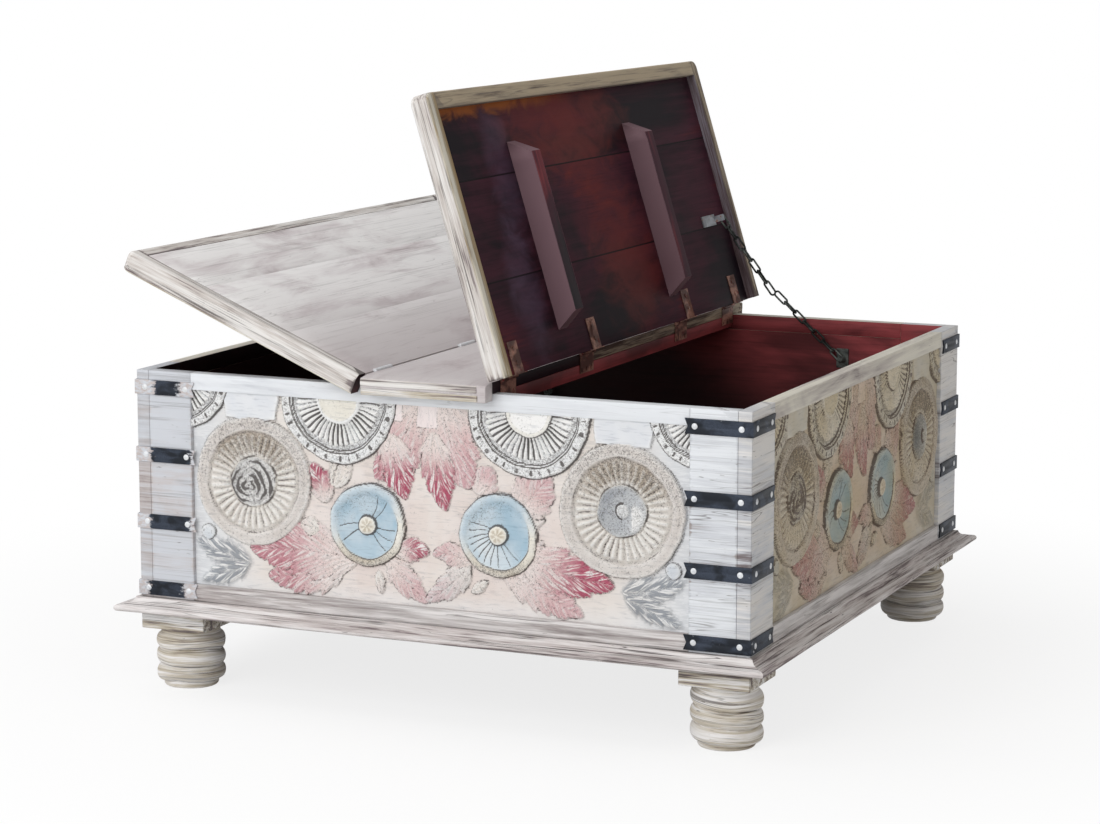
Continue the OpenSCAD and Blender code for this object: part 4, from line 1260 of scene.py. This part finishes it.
def carved_board(name, side, context):
    """A closed board, made as the front one, whose face carries the carving."""
    sizes = context.scene.trunk_sizes
    width, high = PANEL_HI.x - PANEL_LO.x, PANEL_HI.z - PANEL_LO.z
    columns, rows = round(width / sizes.carving_cell), round(high / sizes.carving_cell)
    obj = start("primitive_grid_add", name, x_subdivisions=columns, y_subdivisions=rows, size=1,
                rotation=(math.pi / 2, 0, 0))
    points = places(obj) * (width, 1, high) + ((0, -WALL_OUT, (PANEL_LO.z + PANEL_HI.z) / 2),)
    work = Carving(points[:, 0] / MM, (points[:, 2] - WALL_Z) / MM, context.scene.trunk_colours, SIDES[side])
    work.carve()
    across = int(np.argmax(points[1:, 2] != points[0, 2])) + 1
    field = work.height.reshape(-1, across)
    # Painted light from the relief: hollows take dark lines, partly dirt and partly painted shade; ridges
    # take white as painted highlight
    hollow = (softened(field, HOLLOW_STEPS) - field).ravel()
    work.ink_and_shade = np.maximum(work.ink_and_shade, np.clip(hollow * 0.5, 0, 0.42))
    work.stain(np.clip(-hollow * 0.45, 0, 0.4), "chalk_and_highlight")
    points[:, 1] += GROUND_DEPTH - work.height * MM
    move_points(obj, points)
    marks = [("tint", work.tint), ("flow", work.flow * MM),
             ("marks", np.stack([work.ink_and_shade, work.speckle, work.strokes], axis=1))]
    with editing(obj, "EDGE", lambda edge: edge.is_boundary):
        bpy.ops.mesh.extrude_region_move()
        shape = bmesh.from_edit_mesh(obj.data)
        for vert in shape.verts:
            if vert.select:
                vert.co.y = -WALL_IN
        bmesh.update_edit_mesh(obj.data)
        bpy.ops.mesh.edge_face_add()
        bpy.ops.mesh.select_all(action="SELECT")
        bpy.ops.mesh.normals_make_consistent(inside=False)
    more = len(obj.data.vertices) - len(points)
    for title, values in marks:
        mark(obj, title, np.concatenate([values, np.repeat(values[:1], more, axis=0)]))
    grain(obj, (1, 0, 0), SIDES[side])
    # The sides and the back take the glazed paint: partly older paint, partly painted shade
    coat(obj, FINISH["carved" if side == "front" else "carved_aged"], FINISH["maroon"],
         choose=lambda centre, normal: int(normal.y > 0.9))
    obj.data.transform(turned(side))
    return obj


class TRUNK_OT_carved_panels(bpy.types.Operator):
    """Carves and paints the four panels"""
    bl_idname = "trunk.carved_panels"
    bl_label = "Carved panels"

    def execute(self, context):
        for side in SIDES:
            panel = carved_board(side + "_carving", side, context)
            finish(panel, side + "_carved_panel", "trunk", smooth=60)
        return {"FINISHED"}


WALL_COATS = {"top_rail": "top_rail", "bottom_rail": "low_rail", "stiles": "wall"}
# The sides and the back take darker, warmer coats than the front: partly older paint, partly painted shade
AGED_SHADED_COATS = {"top_rail": "aged_rail", "bottom_rail": "low_rail", "stiles": "aged_wall"}
LEFT_CORNER = -0.39


class TRUNK_OT_wall_boards(bpy.types.Operator):
    """Models the plain rails and stiles round the carved panels"""
    bl_idname = "trunk.wall_boards"
    bl_label = "Wall boards"

    def execute(self, context):
        sizes = context.scene.trunk_sizes
        for seed, side in enumerate(SIDES):
            along = turned(side) @ Vector((1, 0, 0))
            for part in ("top_rail", "bottom_rail", "stiles"):
                node = f"{side}_{part}"
                boards = []
                for lo, hi in solids(node):
                    board = block("board", lo, hi, sizes.board_round / 2, sizes.board_cell)
                    if part == "stiles":
                        wrapped_grain(board, 0.4)
                    else:
                        grain(board, along, seed * 7 + len(boards) * 3 + len(part))
                    weather(board, sizes.board_waves, 14, seed)
                    outer = (WALL_COATS if side == "front" else AGED_SHADED_COATS)[part]
                    if part == "stiles" and max(lo.x, lo.y) < LEFT_CORNER:
                        outer = "wall_left"
                    coat(board, FINISH[outer], FINISH["maroon"], choose=inner_face)
                    boards.append(board)
                finish(joined(node + "_boards", boards), node, "trunk")
        return {"FINISHED"}


class TRUNK_OT_inside(bpy.types.Operator):
    """Models the floor board and the rail under the centre strip"""
    bl_idname = "trunk.inside"
    bl_label = "Inside boards"

    def execute(self, context):
        sizes = context.scene.trunk_sizes
        for seed, node in enumerate(("floor_board", "centre_rail")):
            board = block(node + "_stained", *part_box(node), sizes.board_round, 0.05)
            grain(board, (0, 1, 0), seed + 20)
            weather(board, sizes.board_waves, 14, seed)
            coat(board, FINISH["floor" if node == "floor_board" else "maroon"])
            finish(board, node, "trunk")
        return {"FINISHED"}


def strip_of(name, outline, from_x, to_x, cell):
    """A length of moulding: an outline of (y, z) points drawn along x, with loops along it."""
    obj = start("primitive_circle_add", name, vertices=len(outline), radius=1, fill_type="NGON")
    move_points(obj, [(from_x, y, z) for y, z in outline])
    with editing(obj, "FACE"):
        bpy.ops.mesh.select_all(action="SELECT")
        bpy.ops.mesh.extrude_region_move(TRANSFORM_OT_translate={"value": (to_x - from_x, 0, 0)})
        bpy.ops.mesh.select_all(action="SELECT")
        bpy.ops.mesh.normals_make_consistent(inside=False)
    loops(obj, 0, cell)
    return obj


def mitre(obj, point, normal):
    """Cuts a piece along a plane and closes the cut."""
    with editing(obj, "FACE"):
        bpy.ops.mesh.select_all(action="SELECT")
        bpy.ops.mesh.bisect(plane_co=point, plane_no=normal, use_fill=True, clear_outer=True)


def arc(centre, radius, first, last, steps):
    """Points on part of a circle, by angles in degrees."""
    turns = np.radians(np.linspace(first, last, steps + 1))
    return [(centre[0] + radius * math.cos(t), centre[1] + radius * math.sin(t)) for t in turns]


class TRUNK_OT_base(bpy.types.Operator):
    """Models the base moulding: a round nose under a hollow"""
    bl_idname = "trunk.base"
    bl_label = "Base moulding"

    def execute(self, context):
        sizes = context.scene.trunk_sizes
        lo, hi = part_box("front_base_moulding")
        nose = (hi.z - lo.z) / 4
        out = -lo.y
        outline = [(-hi.y, lo.z)]
        outline += arc((out - nose, lo.z + nose), nose, -90, 90, 12)
        outline += [(out - 2.2 * nose, lo.z + 2 * nose), (out - 2.6 * nose, lo.z + 2.35 * nose)]
        outline += arc((WALL_OUT + 0.0135, hi.z + 0.0015), 0.0085, -85, -169, 8)
        outline += [(WALL_OUT + 0.0005, hi.z), (-hi.y, hi.z)]
        outline = [(-y, z) for y, z in outline]
        for seed, side in enumerate(SIDES):
            obj = strip_of(side + "_moulding", outline, -out, out, sizes.board_cell)
            mitre(obj, (out, -out, 0), (1, 1, 0))
            mitre(obj, (-out, -out, 0), (-1, 1, 0))
            points = places(obj)
            # The crease between nose and hollow and the bottom edge count as edges, so the wash is worn and
            # lined dark there: wear and dirt, and in the crease painted shade as well
            crease = np.hypot(points[:, 1] + out - 3 * nose, points[:, 2] - lo.z - 2 * nose)
            mark(obj, "edge", np.minimum(crease, points[:, 2] - lo.z))
            grain(obj, (1, 0, 0), seed + 31)
            weather(obj, sizes.board_waves * 2, 12, seed + 3)
            coat(obj, FINISH["base"])
            obj.data.transform(turned(side))
            finish(obj, side + "_base_moulding", "trunk", smooth=50)
        return {"FINISHED"}


def foot_radius(height):
    """The radius of the turned part at heights above the floor, in metres."""
    disc, neck, top, rings, ring_r = 0.007, 0.009, FOOT_TURNED, 3, 0.0455
    ring_h = (top - disc - neck) / rings
    radius = np.where(height > top - neck, 0.039, 0.036)
    for i in range(rings):
        rise = (height - disc - ring_h * (i + 0.5)) / (ring_h / 2)
        bulge = ring_r - 0.0078 * (1 - np.sqrt(np.clip(1 - np.clip(np.abs(rise), 0, 1) ** 2.3, 0, 1)))
        radius = np.where(np.abs(rise) <= 1, bulge, radius)
    return radius - 0.0016 * np.clip(1 - height / 0.0025, 0, 1) ** 2


class TRUNK_OT_feet(bpy.types.Operator):
    """Turns the ringed feet under their square blocks"""
    bl_idname = "trunk.feet"
    bl_label = "Feet"

    def execute(self, context):
        sizes = context.scene.trunk_sizes
        for seed, corner in enumerate(CORNERS):
            node = corner + "_foot"
            lo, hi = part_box(node)
            middle = (lo + hi) / 2
            head = block(node + "_head", (lo.x, lo.y, hi.z - FOOT_BLOCK), hi, sizes.board_round,
                         sizes.board_cell)
            grain(head, (1, 0, 0), seed + 41)
            depth = hi.z - FOOT_BLOCK + 0.001
            leg = start("primitive_cylinder_add", node + "_leg", vertices=sizes.foot_steps, radius=1,
                        depth=depth, location=(middle.x, middle.y, depth / 2))
            loops(leg, 2, 0.0011)
            points = places(leg)
            away = points[:, :2] - np.array(middle[:2])
            turn = np.arctan2(away[:, 1], away[:, 0])
            sway = np.array([noise.noise(Vector((math.cos(t) * 1.1, math.sin(t) * 1.1, z * 38 + seed * 9)))
                             for t, z in zip(turn, points[:, 2])])
            slant = sizes.foot_waves * (1.5 * np.sin(turn + seed * 1.3) + 2.2 * sway)
            slant *= np.clip(points[:, 2] / 0.01, 0, 1) * np.clip((depth - points[:, 2]) / 0.01, 0, 1)
            radius = foot_radius(points[:, 2] + slant) - 0.0006 * np.abs(sway)
            points[:, :2] = np.array(middle[:2]) + away * radius[:, None]
            move_points(leg, points)
            mark(leg, "edge", np.full(len(points), 0.02))
            mark(leg, "grain", np.stack([points[:, 0] + 0.6 * points[:, 1], points[:, 2] + slant,
                                         np.full(len(points), seed * 0.3)], axis=1))
            coat(head, FINISH["foot"])
            coat(leg, FINISH["foot"])
            finish(joined(node + "_turned", [head, leg]), node, "trunk", smooth=50)
        return {"FINISHED"}


def dressed(node, name, rounding=0.0):
    """A merged copy of a CAD piece, with its sharp edges eased."""
    source = frame["nodes"][node]
    obj = bpy.data.objects.new(name, source.data.copy())
    bpy.context.scene.collection.objects.link(obj)
    obj.data.name = name
    obj.data.transform(source.matrix_world)
    with editing(obj, "VERT"):
        bpy.ops.mesh.select_all(action="SELECT")
        bpy.ops.mesh.remove_doubles(threshold=MERGE)
        bpy.ops.mesh.dissolve_limited(angle_limit=math.radians(0.8))
    if rounding:
        ease = obj.modifiers.new("ease", "BEVEL")
        ease.width = rounding
        ease.segments = 2
        ease.limit_method = "ANGLE"
        ease.angle_limit = math.radians(40)
        bpy.ops.object.modifier_apply(modifier=ease.name)
    return obj


class TRUNK_OT_straps(bpy.types.Operator):
    """Forges the corner straps and their nails"""
    bl_idname = "trunk.straps"
    bl_label = "Corner straps"

    def execute(self, context):
        sizes = context.scene.trunk_sizes
        for corner in CORNERS:
            node = corner + "_straps"
            obj = dressed(node, node + "_iron", sizes.iron_round)
            coat(obj, FINISH["strap_washed" if corner == "front_left" else "strap"])
            finish(obj, node, "trunk", smooth=30)
        obj = dressed("strap_nails", "strap_nail_heads", sizes.iron_round)
        coat(obj, FINISH["nail"])
        finish(obj, "strap_nails", "trunk", smooth=30)
        return {"FINISHED"}


class TRUNK_OT_strip(bpy.types.Operator):
    """Models the fixed centre strip, with its lipped ends in two layers"""
    bl_idname = "trunk.strip"
    bl_label = "Centre strip"

    def execute(self, context):
        sizes = context.scene.trunk_sizes
        lo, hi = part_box("centre_strip")
        top = block("strip_top", (lo.x, lo.y + 0.0005, WALL_TOP), (hi.x, hi.y - 0.0005, hi.z), 0.0012,
                    sizes.board_cell)
        parts = [(top, "lid_top")]
        for way in (-1, 1):
            last = hi.x - END_BLOCK if way < 0 else hi.x
            layers = ((hi.z - TOP_LAYER, hi.z, 0.0, "rim"),
                      (lo.z, hi.z - TOP_LAYER - 0.0006, 0.0012, "strip_beige"))
            for low, high, step_in, look in layers:
                near_y, far_y = sorted((way * (-lo.y - LIP), way * (hi.y - step_in)))
                part = block("strip_end", (lo.x, near_y, low), (last, far_y, high), 0.0011,
                             sizes.board_cell)
                parts.append((part, look))
        corner = block("strip_corner", (hi.x - END_BLOCK + 0.0004, lo.y, lo.z), (hi.x, lo.y + LIP, hi.z),
                       0.0014, sizes.board_cell)
        parts.append((corner, "lid_top"))
        for seed, (part, look) in enumerate(parts):
            points = places(part)
            out = np.clip(np.abs(points[:, 1]) - (hi.y - STRIP_ROUND), 0, STRIP_ROUND)
            drop = STRIP_ROUND - np.sqrt(STRIP_ROUND ** 2 - out ** 2)
            points[:, 2] = np.where(points[:, 2] > hi.z - 0.004, points[:, 2] - drop, points[:, 2])
            move_points(part, points)
            grain(part, (0, 1, 0) if seed == 0 else (1, 0, 0), seed + 51)
            weather(part, sizes.board_waves, 14, seed)
            coat(part, FINISH[look], FINISH["rim_brown"], FINISH["floor"], choose=strip_edge)
        finish(joined("centre_strip_boards", [part for part, _ in parts]), "centre_strip", "trunk")
        return {"FINISHED"}


def strip_edge(centre, normal):
    """The strip's right edge is dark at the front and brown further back."""
    if normal.x < 0.7 or centre.y < -WALL_OUT:
        return 0
    return 1 if centre.y > -0.12 else 2


def lid_boxes(side, part):
    """Boxes of a lid's solids, in the closed lid's own frame."""
    return solids(f"{side}_lid_{part}", lid_frame(side).inverted())


def rim(name, lo, hi, corner, sizes):
    """A rim board: rounded outside above and below, and round the free corner in plan."""
    obj = cuboid(name, lo, hi)
    for axis in (0, 1):
        loops(obj, axis, sizes.board_cell)
    free_y, inner_y = (lo.y, hi.y) if corner == "front" else (hi.y, lo.y)

    def at(vert, axis, value):
        return abs(vert.co[axis] - value) < 1e-5

    def free_corner(edge):
        return along_edge(edge, 2) and all(at(v, 0, hi.x) and at(v, 1, free_y) for v in edge.verts)

    def outer(vert):
        if at(vert, 0, hi.x):
            return True
        away = (vert.co.y - free_y) ** 2 + (vert.co.x - hi.x) ** 2
        in_corner = vert.co.x > hi.x - RIM_ROUND - 0.0001 and away < 0.02 ** 2
        return corner != "outer" and (in_corner or at(vert, 1, free_y))

    def outside_at(level):
        return lambda edge: (all(at(v, 2, level) and outer(v) for v in edge.verts)
                             and not along_edge(edge, 2)
                             and not all(at(v, 1, inner_y) for v in edge.verts)
                             and not (corner == "outer" and along_edge(edge, 0)))

    if corner != "outer":
        bevel(obj, RIM_ROUND, 6, free_corner)
    for level, size in ((hi.z, 0.0068), (lo.z, 0.004)):
        bevel(obj, size, 4, outside_at(level))
    mark_edges(obj, lo, hi)
    return obj


# The rims: finish of the raised right lid's outside, finish underneath, and the way that side faces; the
# olive and brown finishes on the raised lid's back and outer rims are partly painted shade
RIMS = {
    "front": ("rim", "rim_cream", (0, 0, -1)),
    "back": ("rim_brown", "rim_peel", (0, -1, 0)),
    "outer": ("rim_olive", "rim_olive", (0, 0, -1)),
}


def rim_face(corner):
    """Picks a rim's finish: 2 for the front rim's hinge end, near-black as end grain and as painted shade of
    the gap beside the strip, 1 underneath, 0 elsewhere.
    """
    down = Vector(RIMS[corner][2])
    return lambda centre, normal: (2 if corner == "front" and normal.x < -0.9
                                   else int(normal.dot(down) > 0.5))


def board_face(side):
    """Picks a lid board's finish: 1 underneath, 0 on top and on the left lid's hinge edge."""
    return lambda centre, normal: int(centre.z < -0.0012 and (side == "right" or normal.x > -0.7))


class TRUNK_OT_lids(bpy.types.Operator):
    """Models the boards and the rims of both lids"""
    bl_idname = "trunk.lids"
    bl_label = "Lids"

    def execute(self, context):
        sizes = context.scene.trunk_sizes
        for seed, side in enumerate(("right", "left")):
            boards = []
            for lo, hi in lid_boxes(side, "boards"):
                lo.x, hi.x = lo.x - BOARD_LAP, hi.x + BOARD_LAP
                board = block("board", lo, hi, 0.0004, 0.03)
                unworn(board)
                grain(board, (0, 1, 0), seed * 5 + len(boards) * 2 + 61)
                weather(board, sizes.board_waves, 12, seed + len(boards))
                mark(board, "lid", places(board))
                coat(board, FINISH["lid_top"], FINISH["lid_under"], choose=board_face(side))
                boards.append(board)
            boards = onto_lid(joined(side + "_lid_planks", boards), side)
            finish(boards, side + "_lid_boards", side + "_lid")
            for corner, (raised, under, _) in RIMS.items():
                (lo, hi), = lid_boxes(side, corner + "_rim")
                obj = rim(f"{side}_{corner}_rim", lo, hi, corner, sizes)
                grain(obj, (0, 1, 0) if corner == "outer" else (1, 0, 0), seed * 3 + len(corner) + 71)
                weather(obj, sizes.board_waves, 14, seed + len(corner))
                mark(obj, "lid", places(obj))
                coat(obj, FINISH[raised if side == "right" else "rim"], FINISH[under], FINISH["floor"],
                     choose=rim_face(corner))
                finish(onto_lid(obj, side), f"{side}_lid_{corner}_rim", side + "_lid")
        return {"FINISHED"}


def long_edge(low, middle_y):
    """Picks the long lower edges of a batten."""
    return lambda edge: along_edge(edge, 0) and all(
        v.co.z < low + 0.0004 and abs(v.co.y - middle_y) > 0.012 for v in edge.verts)


class TRUNK_OT_battens(bpy.types.Operator):
    """Models the battens under the lids, with their sloped ends"""
    bl_idname = "trunk.battens"
    bl_label = "Battens"

    def execute(self, context):
        sizes = context.scene.trunk_sizes
        for seed, side in enumerate(("right", "left")):
            parts = []
            for lo, hi in lid_boxes(side, "battens"):
                part = block("batten", lo, hi, 0.0003, 0.03)
                for way, at_x in ((-1, lo.x), (1, hi.x)):
                    mitre(part, (at_x, 0, hi.z), (way * (hi.z - lo.z), 0, -BATTEN_SLOPE))
                bevel(part, 0.0035, 2, long_edge(lo.z, (lo.y + hi.y) / 2))
                unworn(part)
                grain(part, (1, 0, 0), seed * 3 + len(parts) + 81)
                weather(part, sizes.board_waves * 1.5, 16, seed)
                coat(part, FINISH["batten"], FINISH["batten_low"],
                     choose=lambda centre, normal: int(normal.z < -0.6))
                parts.append(part)
            battens = onto_lid(joined(side + "_lid_cross_battens", parts), side)
            finish(battens, side + "_lid_battens", side + "_lid")
        return {"FINISHED"}


def washed_knuckle(centre, normal):
    """1 on the tops of the left lid's hinges, which the wash covers."""
    left_x = JOINTS["left_lid_hinge"]["pos_m"][0]
    return int(abs(centre.x - left_x) < 0.008 and centre.z > TOP_Z - 0.005)


class TRUNK_OT_hinges(bpy.types.Operator):
    """Forges the leaves, the pins and the screws of the hinges"""
    bl_idname = "trunk.hinges"
    bl_label = "Hinges"

    def execute(self, context):
        pieces = [("fixed_leaf_screws", "trunk")]
        for side in ("right", "left"):
            pieces += [(side + "_fixed_leaves", "trunk"), (side + "_hinge_pins", "trunk"),
                       (side + "_lid_leaves", side + "_lid"), (side + "_lid_screws", side + "_lid")]
        for node, body in pieces:
            obj = dressed(node, node + "_iron")
            coat(obj, FINISH["hinge"], FINISH["nail"], choose=washed_knuckle)
            finish(obj, node, body)
        return {"FINISHED"}


class TRUNK_OT_chains(bpy.types.Operator):
    """Gives the chains, their staples and their eyes old iron"""
    bl_idname = "trunk.chains"
    bl_label = "Chains"

    def execute(self, context):
        for side in ("right", "left"):
            for part in ("chain_staple", "wall_eye", "chain_upper_links", "chain_lower_links"):
                for slot in frame["nodes"][f"{side}_{part}"].material_slots:
                    slot.material = FINISH["bracket" if part == "chain_staple" else "chain"]
        return {"FINISHED"}


OPERATORS = [TRUNK_OT_finishes, TRUNK_OT_stage, TRUNK_OT_carved_panels, TRUNK_OT_wall_boards,
             TRUNK_OT_inside, TRUNK_OT_base, TRUNK_OT_feet, TRUNK_OT_straps, TRUNK_OT_strip,
             TRUNK_OT_lids, TRUNK_OT_battens, TRUNK_OT_hinges, TRUNK_OT_chains]


class TRUNK_PT_panel(bpy.types.Panel):
    """Lists the pieces in the order they are made"""
    bl_label = "Trunk table"
    bl_space_type = "VIEW_3D"
    bl_region_type = "UI"
    bl_category = "Trunk table"

    def draw(self, context):
        for operator in OPERATORS:
            self.layout.operator(operator.bl_idname)
        for settings in (context.scene.trunk_sizes, context.scene.trunk_colours, context.scene.trunk_stage):
            box = self.layout.box()
            for key in settings.bl_rna.properties.keys():
                if key not in ("rna_type", "name"):
                    box.prop(settings, key)


CLASSES = [TrunkSizes, TrunkColours, TrunkStage, *OPERATORS, TRUNK_PT_panel]


def register():
    for cls in CLASSES:
        bpy.utils.register_class(cls)
    bpy.types.Scene.trunk_sizes = PointerProperty(type=TrunkSizes)
    bpy.types.Scene.trunk_colours = PointerProperty(type=TrunkColours)
    bpy.types.Scene.trunk_stage = PointerProperty(type=TrunkStage)


def unregister():
    del bpy.types.Scene.trunk_stage
    del bpy.types.Scene.trunk_colours
    del bpy.types.Scene.trunk_sizes
    for cls in reversed(CLASSES):
        bpy.utils.unregister_class(cls)


def main():
    register()
    for operator in OPERATORS:
        area, name = operator.bl_idname.split(".")
        getattr(getattr(bpy.ops, area), name)()
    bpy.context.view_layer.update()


if __name__ == "__main__":
    main()
